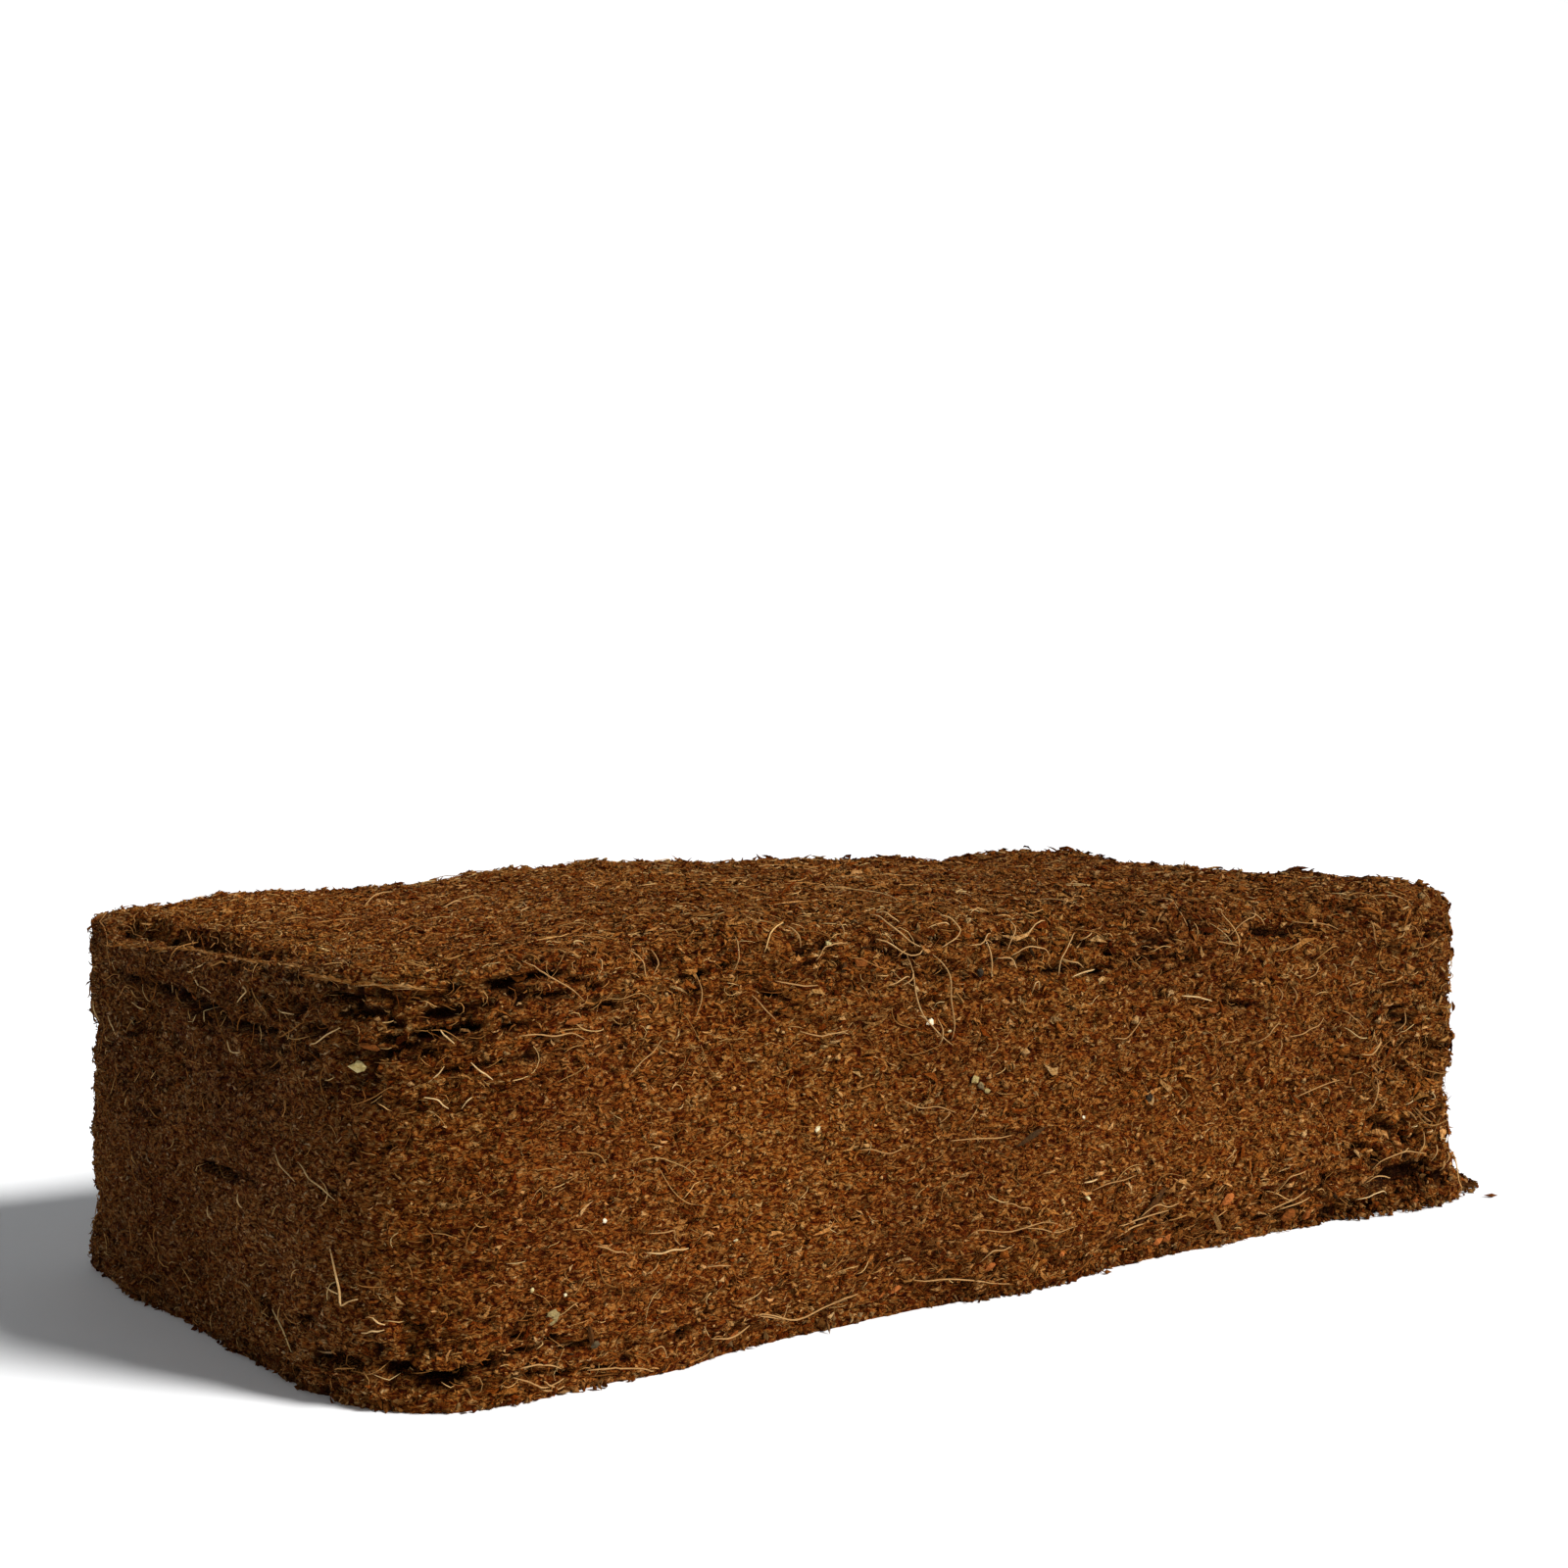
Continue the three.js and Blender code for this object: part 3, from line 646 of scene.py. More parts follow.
def closed(values, edges, passes):
    """Fills narrow dips: takes the highest value near each vertex, then the lowest of those."""
    first, second = edges.T
    for pick in (np.maximum, np.minimum):
        for _ in range(passes):
            picked = values.copy()
            pick.at(picked, first, values[second])
            pick.at(picked, second, values[first])
            values = picked
    return values


EDGE_REACH = 8.0  # how far in from an edge the skin is looser, in mm
LOOSE_LEAST, LOOSE_BY_EDGE, LOOSE_BY_PLACE = 0.14, 0.66, 0.8


def near_edges(points):
    """1 at the block's edges, falling towards 0 in the middle of a face."""
    half = np.array([LENGTH / 2, WIDTH / 2, HEIGHT / 2])
    gaps = np.sort(half - abs(points - [0, 0, HEIGHT / 2]), axis=1)
    return np.exp(-np.maximum(0, gaps[:, 1]) / EDGE_REACH)


def looseness(points, solid):
    """From 0 where the skin is pressed smooth to 1 where it is flaky, near edges and in loose places."""
    loose = LOOSE_LEAST + LOOSE_BY_EDGE * near_edges(points)
    middles, _ = seen_at(solid, [pixel for pixel, _, _ in LOOSE_PLACES])
    for middle, (_, along, up) in zip(middles, LOOSE_PLACES):
        away = points - middle
        level = np.hypot(away[:, 0], away[:, 1]) / along
        loose += LOOSE_BY_PLACE * np.exp(-(level**2) - (away[:, 2] / up) ** 2)
    return np.clip(loose, 0, 1)


CRACK_STEPS = 10  # for each point of its route
CRACK_REACH = 4  # how far round its route a crack is worked out, in mm


def cracks_at(points, tree):
    """The depth of the cracks that the photograph shows."""
    depth = np.zeros(len(points))
    for deepest, half_width, *pixels in CRACKS:
        share = np.linspace(0, len(pixels) - 1, CRACK_STEPS * len(pixels))
        dense = np.stack([np.interp(share, range(len(pixels)), axis) for axis in zip(*pixels)], axis=1)
        route, _ = seen_at(tree, dense)
        middle = route.mean(axis=0)
        reach = np.linalg.norm(route - middle, axis=1).max() + CRACK_REACH
        near = np.nonzero(np.linalg.norm(points - middle, axis=1) < reach)[0]
        away = np.linalg.norm(points[near][:, None] - route[None], axis=2)
        closest = away.argmin(axis=1)
        fade = np.sin(math.pi * np.clip((closest + 0.5) / len(route), 0, 1)) ** 0.5
        cut = deepest * fade * np.exp(-((away.min(axis=1) / half_width) ** 2))
        depth[near] = np.maximum(depth[near], cut)
    return depth


# The layers of the relief: the size of their lumps in mm, and their seed
CLODS = (5.0, 11)
SMALL_CLODS = ((3.4, 3.4, 2.2), 12)
BEDS = ((16.0, 16.0, 2.2), 13)
FLAT_FLAKES = ((9.0, 2.6, 2.6), 14)
CRUMBS = ((2.4, 2.4, 1.6), 21)
PITS = (3.4, 31)
GAP_LINES = ((13.0, 13.0, 2.6), 51)
GAP_STRETCHES = ((8.0, 8.0, 4.0), 52)
# Their heights in mm: where the skin is pressed, and what it gains where it is loose
CLOD_RISE = (0.0, 0.6)
SMALL_CLOD_RISE = (0.14, 0.3)
BED_RISE = 0.95
FLAKE_RISE = 0.2
CRUMB_RISE = (0.32, 0.4)
CRUMB_DOME = 0.25  # how much higher the middle of a crumb is
PIT_DEPTH = (0.9, 1.8)
PIT_LEVEL = 0.35  # the noise over which there is a pit
DUST_RISE, DUST_SEED = 0.15, 5
GAP_DEPTH = 2.0
GAP_WIDTH = 0.095  # how near to 0 the noise is inside a gap
GAP_ENDS = 3  # how sharply a gap starts and ends
GAP_POWER = 1.3  # of the looseness, which makes gaps deeper


def by_looseness(values, loose):
    """A value that is the first where the skin is pressed, and gains the second where it is loose."""
    pressed, gained = values
    return pressed + gained * loose


def fine_relief(points, normals, loose):
    """Height of the pressed crumb over the smooth form, and depth of the gaps between its beds, in mm."""
    upright = 1 - abs(normals[:, 2])
    steep = np.sqrt(upright)
    clods = by_looseness(CLOD_RISE, loose) * lumpy(points, *CLODS)
    clods += by_looseness(SMALL_CLOD_RISE, loose) * lumpy(points, *SMALL_CLODS)
    beds = BED_RISE * steep * loose * lumpy(points, *BEDS)
    flakes = FLAKE_RISE * (1 - upright) * lumpy(points, *FLAT_FLAKES)
    distance, number = crumbly(points, *CRUMBS)
    crumbs = by_looseness(CRUMB_RISE, loose) * (number - 0.5) + CRUMB_DOME * (0.5 - distance)
    pits = np.maximum(0, lumpy(points, *PITS) - PIT_LEVEL) * by_looseness(PIT_DEPTH, loose)
    dust = DUST_RISE * np.random.default_rng(DUST_SEED).normal(size=len(points))
    line = lumpy(points, *GAP_LINES) / GAP_WIDTH
    broken = np.clip(GAP_ENDS * lumpy(points, *GAP_STRETCHES), 0, 1)
    gaps = GAP_DEPTH * steep * loose**GAP_POWER * broken * np.exp(-(line**2))
    return clods + beds + flakes + crumbs - pits + dust, gaps


UNDERSIDE_SPOTS = 5200
UNDERSIDE_HOLLOWS = (5.5, 41)
UNDERSIDE_CRUMB = (2.4, 42)
UNDERSIDE_DEPTH, UNDERSIDE_LEVEL, UNDERSIDE_RISE = 0.9, 0.1, 0.25
# painted shade that darkens the whole underside
UNDERSIDE_SHADE = 0.3
INSIDE_ONLY = 1  # the net leaves out what lies outside the foot's outline
NET_LEAST = 1e-5  # points of the net closer than this, in mm, become one


def make_underside(vertices, foot):
    """Fills the foot's outline with an uneven net whose hollows rise a little into the block."""
    outline = vertices[foot][:, :2]
    rng = np.random.default_rng(6)
    spots = rng.uniform(outline.min(0), outline.max(0), size=(UNDERSIDE_SPOTS, 2))
    count = len(outline)
    edges = [(i, (i + 1) % count) for i in range(count)]
    points = [Vector(p) for p in np.concatenate([outline, spots]).tolist()]
    flat, _, faces, origins, _, _ = delaunay_2d_cdt(points, edges, [], INSIDE_ONLY, NET_LEAST)
    flat = np.array(flat)
    faces = np.array(faces)
    kept = np.unique(faces)
    number = np.full(len(flat), -1)
    for i in kept:
        old = [o for o in origins[i] if o < count]
        number[i] = foot[old[0]] if old else -1
    inner = kept[number[kept] < 0]
    points = np.column_stack([flat[inner], np.zeros(len(inner))])
    hollows = UNDERSIDE_DEPTH * np.maximum(0, lumpy(points, *UNDERSIDE_HOLLOWS) - UNDERSIDE_LEVEL)
    points[:, 2] = hollows + UNDERSIDE_RISE * abs(lumpy(points, *UNDERSIDE_CRUMB))
    number[inner] = len(vertices) + np.arange(len(inner))
    triangles = number[faces]
    all_points = np.concatenate([vertices, points])
    a, b, c = (all_points[triangles[:, i]][:, :2] for i in range(3))
    facing_up = (b[:, 0] - a[:, 0]) * (c[:, 1] - a[:, 1]) > (b[:, 1] - a[:, 1]) * (c[:, 0] - a[:, 0])
    triangles[facing_up] = triangles[facing_up][:, ::-1]
    uv = all_points[triangles][:, :, [1, 0]] + MAP_UNDERSIDE
    return points, triangles, uv


def sampled_skin(solid, points, out, edges):
    """The solid's form without its facets, and the depth of its fissures."""
    above = cad_box[1][2] / MM + 1
    tops = []
    for x, y in points[:, :2] * TOP_INSET:
        tops.append(solid.ray_cast(Vector((x, y, above)), Vector((0, 0, -1)))[0].z)
    drop = shelf_drop(points)
    points[:, 2] *= (averaged(np.array(tops), edges, TOP_PASSES) - drop) / HEIGHT
    reach = []
    for start, direction in zip((points + CAST_FROM * out).tolist(), (-out).tolist()):
        hit = solid.ray_cast(Vector(start), Vector(direction))
        reach.append(hit[3] if hit[0] else CAST_FROM)
    stands = CAST_FROM - np.array(reach)
    on_top = out[:, 2] > ON_TOP
    by_shelf = on_top & (points[:, 0] < 2 * SHELF_WIDTH - LENGTH / 2)
    stands[by_shelf] = np.maximum(stands[by_shelf], 0)
    stands[on_top & (drop > 0)] = 0
    whole = closed(stands, edges, CLOSE_PASSES)
    calm = averaged(whole, edges, CALM_PASSES)
    fissures = np.clip(whole - stands - FISSURE_START, 0, FISSURE_DEPTH)
    smooth = points + out * calm[:, None]
    smooth[:, 2] = np.maximum(smooth[:, 2], 0)
    return smooth, fissures


def shelf_drop(points):
    """How far the shelf along the left end lies below the top."""
    edge = points * [0, 1, 0]
    ragged = lumpy(edge, *SHELF_BAYS) + SHELF_NICK_SHARE * lumpy(edge, *SHELF_NICKS)
    from_end = points[:, 0] + LENGTH / 2
    drop = np.interp(points[:, 1], SHELF_Y, SHELF_DROPS, left=0.0)
    return np.where(from_end < SHELF_WIDTH + SHELF_RAGGED * ragged, drop, 0)


FOOT_RELIEF = 0.6  # the share of the relief that the foot's own edge keeps
FOOT_LIFT = 0.4  # the skin over it is at least this high, and this share of its height in the first mm
HOLLOW_SHADE = (0.8, 0.7)  # how dark the painted shade in a hollow of 1 mm is, and what it gains where the skin is loose
HOLLOW_DEPTH = 1.2  # a gap of this depth is fully darkened by painted shade


def make_body():
    """The whole body. Returns what the loose bits on it need to know of its skin."""
    lattice, triangles, uv, foot = box_grid()
    size = np.array([LENGTH, WIDTH, HEIGHT])
    plain, out = plain_block(lattice * size - [LENGTH / 2, WIDTH / 2, 0])
    solid = cad_tree()
    edges = edges_of(triangles)
    smooth, fissures = sampled_skin(solid, plain, out, edges)
    normals = vertex_normals(smooth, triangles)
    loose = looseness(smooth, solid)
    relief, gaps = fine_relief(smooth, normals, loose)
    on_foot = lattice[:, 2] == 0
    relief[on_foot] *= FOOT_RELIEF
    tree = tree_of(smooth, triangles)
    depth = np.maximum(np.maximum(fissures, gaps), cracks_at(smooth, tree))
    vertices = smooth + normals * (relief - depth)[:, None]
    level = lattice[:, 2] * HEIGHT
    vertices[:, 2] = np.where(on_foot, 0, np.maximum(vertices[:, 2], FOOT_LIFT * np.minimum(level, 1)))
    # Painted shade: darker where the relief lies lower than round it, more so where the skin is loose, and
    # in cracks, fissures and gaps
    below = averaged(relief, edges, HOLLOW_PASSES) - relief
    hollow = np.clip(below * by_looseness(HOLLOW_SHADE, loose) + depth / HOLLOW_DEPTH, 0, 1)
    under, under_triangles, under_uv = make_underside(vertices, foot)
    all_vertices = np.concatenate([vertices, under])
    all_triangles = np.concatenate([triangles, under_triangles])
    all_uv = np.concatenate([uv, under_uv]) / MAP_SIZE
    all_hollow = np.concatenate([hollow, np.full(len(under), UNDERSIDE_SHADE)])
    body = make_piece("coir_block", all_vertices, all_triangles, all_uv, all_hollow, pressed_coir())
    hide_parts(NODE)
    return {
        "vertices": vertices,
        "triangles": triangles,
        "normals": normals,
        "hollow": hollow,
        "loose": loose,
        "depth": depth,
        "foot": foot,
        "tree": tree,
    }


# Materials


class Nodes:
    """Adds and links the nodes of one material."""

    def __init__(self, name):
        self.material = bpy.data.materials.new(name)
        self.material.use_nodes = True
        self.tree = self.material.node_tree
        self.shader = self.tree.nodes["Principled BSDF"]

    def put(self, socket, value):
        if isinstance(value, bpy.types.NodeSocket):
            self.tree.links.new(value, socket)
        else:
            socket.default_value = value

    def add(self, kind, inputs, **settings):
        node = self.tree.nodes.new(kind)
        for key, value in settings.items():
            setattr(node, key, value)
        for key, value in inputs.items():
            self.put(node.inputs[key], value)
        return node

    def surface(self, colour, roughness, specular):
        inputs = self.shader.inputs
        self.put(inputs["Base Color"], colour)
        self.put(inputs["Roughness"], roughness)
        self.put(inputs["Specular IOR Level"], specular)

    def bump(self, height, strength):
        inputs = {"Height": height, "Strength": strength, "Distance": BUMP_RISE}
        bump = self.add("ShaderNodeBump", inputs)
        self.put(self.shader.inputs["Normal"], bump.outputs["Normal"])

    def sums(self, operation, *values):
        node = self.tree.nodes.new("ShaderNodeMath")
        node.operation = operation
        for socket, value in zip(node.inputs, values):
            self.put(socket, value)
        return node.outputs[0]

    def ramp(self, factor, stops):
        """A colour ramp from stops of place and colour."""
        node = self.add("ShaderNodeValToRGB", {"Fac": factor})
        elements = node.color_ramp.elements
        elements.remove(elements[1])
        for i, (place, colour) in enumerate(stops):
            element = elements[0] if i == 0 else elements.new(place)
            element.position = place
            element.color = (*colour, 1)
        return node.outputs["Color"]

    def mix(self, factor, first, second, blend="MIX"):
        inputs = {0: factor, 6: first, 7: second}
        return self.add("ShaderNodeMix", inputs, data_type="RGBA", blend_type=blend).outputs[2]

    def times(self, colour, tint):
        return self.mix(1.0, colour, tint, "MULTIPLY")

    def place(self):
        return self.add("ShaderNodeTexCoord", {}).outputs["Object"]

    def stretched(self, place, shares):
        return self.add("ShaderNodeVectorMath", {0: place, 1: shares}, operation="MULTIPLY").outputs[0]

    def noise(self, place, scale, detail=2):
        inputs = {"Vector": place, "Scale": scale, "Detail": detail}
        return self.add("ShaderNodeTexNoise", inputs).outputs

    def cells(self, place, scale, feature="F1"):
        inputs = {"Vector": place, "Scale": scale}
        return self.add("ShaderNodeTexVoronoi", inputs, feature=feature).outputs

    def red(self, colour):
        return self.add("ShaderNodeSeparateColor", {"Color": colour}).outputs["Red"]

    def in_hollows(self, colour, strength):
        """Darkens a colour towards a near-black brown as the vertex attribute says: painted shade in
        hollows, and on crumbs partly their own darkness.
        """
        hollow = self.add("ShaderNodeAttribute", {}, attribute_name="hollow").outputs["Fac"]
        return self.mix(self.sums("MULTIPLY", hollow, strength), colour, (*DARK_AND_SHADE_COLOUR, 1))

    def in_patches(self, colour, place):
        """Shifts a colour from place to place, between a darker and a more yellow brown, brightens it low
        down as painted light, and makes the left end duller and more olive, partly as its own colour and
        partly as painted shade."""
        axes = self.add("ShaderNodeSeparateXYZ", {"Vector": place}).outputs
        up = self.sums("MULTIPLY", axes["Z"], 1 / (HEIGHT * MM))
        along = self.sums("ADD", self.sums("MULTIPLY", axes["X"], 1 / (LENGTH * MM)), 0.5)
        wide = self.noise(place, PATCH_SCALE)["Fac"]
        for factor, stops in ((wide, PATCH_TINTS), (up, LOW_PAINTED_LIGHT), (along, END_TINT_AND_SHADE)):
            colour = self.times(colour, self.ramp(factor, stops))
        return colour

    def tinted(self, colour, chance):
        """Makes a colour redder or greyer by chance, from 0 to 1."""
        return self.times(colour, self.ramp(chance, CHANCE_TINTS))


# How colours change along the block, from its left end at 0 to its right end at 1: duller and cooler at the
# left end, partly its own colour and partly painted shade, and brighter just beside it
END_TINT_AND_SHADE = [
    (0.0, (0.74, 0.82, 1.1)),
    (0.04, (1.2, 1.24, 1.2)),
    (0.12, (1.1, 1.04, 1.0)),
    (0.35, (1, 0.98, 0.96)),
]
LOW_PAINTED_LIGHT = [(0.3, (1.15,) * 3), (0.6, (1.0,) * 3), (1.0, (0.97,) * 3)]  # painted light: brighter near the floor, from the floor up
# the near-black brown of painted shade in hollows and of the darkest crumbs
DARK_AND_SHADE_COLOUR = (0.006, 0.0010, 0.0001)
PITH = [
    (0.0, (0.052, 0.0085, 0.0007)),
    (0.2, (0.112, 0.0240, 0.0018)),
    (0.5, (0.184, 0.060, 0.0093)),
    (0.75, (0.242, 0.102, 0.0235)),
    (0.9, (0.29, 0.143, 0.044)),
    (1.0, (0.38, 0.215, 0.084)),
]
HUSK = [
    (0.0, (0.036, 0.019, 0.008)),
    (0.25, (0.070, 0.023, 0.004)),
    (0.45, (0.115, 0.032, 0.004)),
    (0.75, (0.19, 0.070, 0.014)),
    (1.0, (0.27, 0.125, 0.040)),
]
FLAKE = [
    (0.0, (0.036, 0.019, 0.008)),
    (0.3, (0.090, 0.030, 0.006)),
    (0.6, (0.20, 0.056, 0.011)),
    (1.0, (0.36, 0.108, 0.026)),
]
FIBRE = [
    (0.0, (0.08, 0.018, 0.0015)),
    (0.5, (0.19, 0.076, 0.016)),
    (0.85, (0.33, 0.168, 0.050)),
    (1.0, (0.52, 0.33, 0.13)),
]
STRAW = [
    (0.0, (0.08, 0.026, 0.005)),
    (0.5, (0.23, 0.104, 0.031)),
    (0.8, (0.41, 0.232, 0.088)),
    (1.0, (0.60, 0.42, 0.20)),
]
STONE = [
    (0.0, (0.016, 0.010, 0.006)),
    (0.4, (0.12, 0.084, 0.040)),
    (0.7, (0.35, 0.26, 0.095)),
    (0.85, (0.50, 0.41, 0.20)),
    (1.0, (0.74, 0.63, 0.45)),
]
PATCH_TINTS = [(0.3, (0.72, 0.66, 0.62)), (0.5, (1, 1, 1)), (0.72, (1.12, 1.14, 1.1))]
CHANCE_TINTS = [(0.0, (1.1, 0.96, 0.85)), (0.5, (1, 1, 1)), (1.0, (0.9, 1.0, 1.12))]
# painted shadow in the seams between the pith's flakes
SEAM_SHADE = [(0.0, (0.32, 0.18, 0.08)), (0.2, (1, 1, 1))]
FLAT_CELLS = (0.55, 0.55, 1.0)  # the pith's flakes are flatter than they are wide
STREAKS = (0.35, 0.35, 1.0)
# How many of a texture's cells or lumps there are to a metre
PATCH_SCALE, MOTTLE_SCALE, BEND_SCALE, GRAIN_SCALE = 32, 900, 1300, 1400
CURL_SCALE, FOLD_SCALE, SPECK_SCALE, STREAK_SCALE = 2200, 2300, 2900, 4000
BEND = 0.0016  # how far the flakes' outlines are bent, in metres
BUMP_RISE = 0.0008  # in metres
WRINKLED = 0.9
DRY, MATT = 1.0, 0.03  # roughness and specular of pith and husk
BODY_SHADE, BITS_SHADE = 0.95, 0.85  # how far painted shade darkens the body and the loose bits
OTHER_CHANCE = 37.7  # makes a second chance of an island's first
# How much the texture's grains, specks and curls tell in the body's tone, its painted shadow in the seams,
# and its bump
TONE_LEAST, TONE_BY_GRAIN, TONE_BY_SPECK, TONE_BY_CURL = 0.2, 0.35, 0.2, 1.5
SEAM_BY_CURL = 0.7
SPECK_RISE, SPECK_DOME = 0.3, 0.35


def pressed_coir():
    """The body: pith in small curled flakes of many browns, with painted shadow in the seams between them,
    painted shade in its hollows, and painted light and shade on its raised and low curls.
    """
    nodes = Nodes("pressed_coir")
    place = nodes.place()
    flat = nodes.stretched(place, FLAT_CELLS)
    bend = nodes.stretched(nodes.noise(flat, BEND_SCALE)["Color"], (BEND,) * 3)
    bent = nodes.add("ShaderNodeVectorMath", {0: flat, 1: bend}, operation="ADD").outputs[0]
    grain = nodes.cells(bent, GRAIN_SCALE)
    speck = nodes.cells(bent, SPECK_SCALE)
    seam_shadow = nodes.cells(bent, GRAIN_SCALE, "DISTANCE_TO_EDGE")["Distance"]
    curls = nodes.noise(bent, CURL_SCALE, 1)["Fac"]
    small = nodes.red(speck["Color"])
    tone = nodes.sums("MULTIPLY", nodes.red(grain["Color"]), TONE_BY_GRAIN)
    tone = nodes.sums("ADD", tone, nodes.sums("MULTIPLY", small, TONE_BY_SPECK))
    raised = nodes.sums("SUBTRACT", curls, 0.5)
    tone = nodes.sums("ADD", tone, TONE_LEAST)
    # The curls' share of the tone is partly the pith's own browns and partly painted light on the raised
    # curls and painted shade on the low ones
    tone = nodes.sums("ADD", tone, nodes.sums("MULTIPLY", raised, TONE_BY_CURL))
    colour = nodes.in_patches(nodes.tinted(nodes.ramp(tone, PITH), small), place)
    # Painted shadow in the seams between the flakes, wider where the curls lie low
    seam_shadow = nodes.sums("ADD", seam_shadow, nodes.sums("MULTIPLY", raised, SEAM_BY_CURL))
    colour = nodes.times(colour, nodes.ramp(seam_shadow, SEAM_SHADE))
    nodes.surface(nodes.in_hollows(colour, BODY_SHADE), DRY, MATT)
    rise = nodes.sums("SUBTRACT", nodes.sums("MULTIPLY", small, SPECK_RISE), grain["Distance"])
    rise = nodes.sums("SUBTRACT", rise, nodes.sums("MULTIPLY", speck["Distance"], SPECK_DOME))
    rise = nodes.sums("ADD", rise, raised)
    nodes.bump(rise, WRINKLED)
    return nodes.material


def island_material(name, stops, roughness, specular, mottle, chosen=False, patchy=True, wrinkled=0.0):
    """Grains, chips or fibres: each island has its own colour, which changes a little along it. It is by
    chance, or where it is chosen, as the tone attribute says, with no tints or patches."""
    nodes = Nodes(name)
    tone = nodes.add("ShaderNodeNewGeometry", {}).outputs["Random Per Island"]
    other_chance = nodes.sums("FRACT", nodes.sums("MULTIPLY", tone, OTHER_CHANCE))
    if chosen:
        tone = nodes.add("ShaderNodeAttribute", {}, attribute_name="tone").outputs["Fac"]
    place = nodes.place()
    for texture, scale in ((place, MOTTLE_SCALE), (nodes.stretched(place, STREAKS), STREAK_SCALE)):
        shift = nodes.sums("SUBTRACT", nodes.noise(texture, scale)["Fac"], 0.5)
        tone = nodes.sums("ADD", tone, nodes.sums("MULTIPLY", shift, mottle))
    colour = nodes.ramp(tone, stops)
    if not chosen:
        colour = nodes.tinted(colour, other_chance)
        if patchy:
            colour = nodes.in_patches(colour, place)
    # darkened as the vertex attribute says: painted shade, and on crumbs partly their own darkness
    nodes.surface(nodes.in_hollows(colour, BITS_SHADE), roughness, specular)
    if wrinkled:
        nodes.bump(nodes.noise(place, FOLD_SCALE, 1)["Fac"], wrinkled)
    return nodes.material


# Grains and chips

# A bent spindle: two tips, and a ring of three that bulges to one side
SPINDLE = (
    np.array([[-1, 0, 0], [0, 1.6, 0], [0, 0.1, 0.87], [0, 0.1, -0.87], [1, 0, 0]], float),
    np.array([[0, 2, 1], [0, 3, 2], [0, 1, 3], [4, 1, 2], [4, 2, 3], [4, 3, 1]]),
)
NUGGET = (
    np.array([[1, 0, 0], [0, 1, 0], [-1, 0, 0], [0, -1, 0], [0, 0, 1], [0, 0, -1]], float),
    np.array([[0, 1, 4], [1, 2, 4], [2, 3, 4], [3, 0, 4], [1, 0, 5], [2, 1, 5], [3, 2, 5], [0, 3, 5]]),
)


def crumb_form():
    """A thin bent flake: an uneven ring of six between a middle above and one below."""
    angles = np.arange(6) * math.pi / 3
    bends = [-0.9, 0.9, 0.3, -1.1, 0.8, -0.2]
    ring = np.stack([np.cos(angles), np.sin(angles), bends], axis=1)
    points = np.concatenate([ring, [[0.1, 0.1, 1], [0, 0, -1]]])
    faces = [(i, (i + 1) % 6, 6) for i in range(6)] + [((i + 1) % 6, i, 7) for i in range(6)]
    return points, np.array(faces)


def pebble_form():
    """The nugget with each face split in four and its points brought to a ball."""
    points, faces = NUGGET
    points = [tuple(p) for p in points]
    made = []
    for a, b, c in faces:
        middles = []
        for i, j in ((a, b), (b, c), (c, a)):
            middle = tuple(unit(np.array(points[i]) + np.array(points[j])))
            if middle not in points:
                points.append(middle)
            middles.append(points.index(middle))
        ab, bc, ca = middles
        made += [(a, ab, ca), (ab, b, bc), (ca, bc, c), (ab, bc, ca)]
    return np.array(points), np.array(made)


def curl_form():
    """A curled splinter: two tips and two rings of three, bowed to one side."""
    angles = np.arange(3) * 2 * math.pi / 3
    rings = [
        np.stack([along + 0 * angles, bow + np.cos(angles), rise + np.sin(angles)], axis=1)
        for along, bow, rise in ((-0.4, 2.0, 0.4), (0.4, 2.2, 0.2))
    ]
    points = np.concatenate([[[-1, 0, 0]], *rings, [[1, 0, 0]]])
    faces = []
    for i in range(3):
        j = (i + 1) % 3
        faces += [(0, 1 + j, 1 + i), (1 + i, 1 + j, 4 + j), (1 + i, 4 + j, 4 + i), (7, 4 + i, 4 + j)]
    return points, np.array(faces)


CRUMB = crumb_form()
PEBBLE = pebble_form()
CURL = curl_form()


def scatter(skin, rng, count, weight):
    """Random points on the skin, as many on each triangle as its area and the weight say, with the skin's
    normals and painted shade there."""
    vertices, triangles = skin["vertices"], skin["triangles"]
    a, b, c = (vertices[triangles[:, i]] for i in range(3))
    area = np.linalg.norm(np.cross(b - a, c - a), axis=1) * weight[triangles].mean(axis=1)
    chosen = rng.choice(len(triangles), size=count, p=area / area.sum())
    u, v = rng.random((2, count))
    over = u + v > 1
    u, v = np.where(over, 1 - u, u)[:, None], np.where(over, 1 - v, v)[:, None]
    points = a[chosen] + u * (b - a)[chosen] + v * (c - a)[chosen]
    normals = unit(skin["normals"][triangles[chosen]].mean(axis=1))
    return points, normals, skin["hollow"][triangles[chosen]].mean(axis=1)


RIM_BAND = 12.0  # so far in from the rim of the top, bits lie along that rim
LEVEL_SLOPE = 0.3  # the sine of a slope up to which bits lie as on the top


def along_rim(points):
    """Level directions along the nearest rim of the top, or along the block further in."""
    inner = np.array([LENGTH / 2, WIDTH / 2]) - RIM_BAND
    out = points[:, :2] - np.clip(points[:, :2], -inner, inner)
    out[~out.any(axis=1)] = [0, 1]
    out = unit(out)
    return np.stack([-out[:, 1], out[:, 0], np.zeros(len(out))], axis=1)


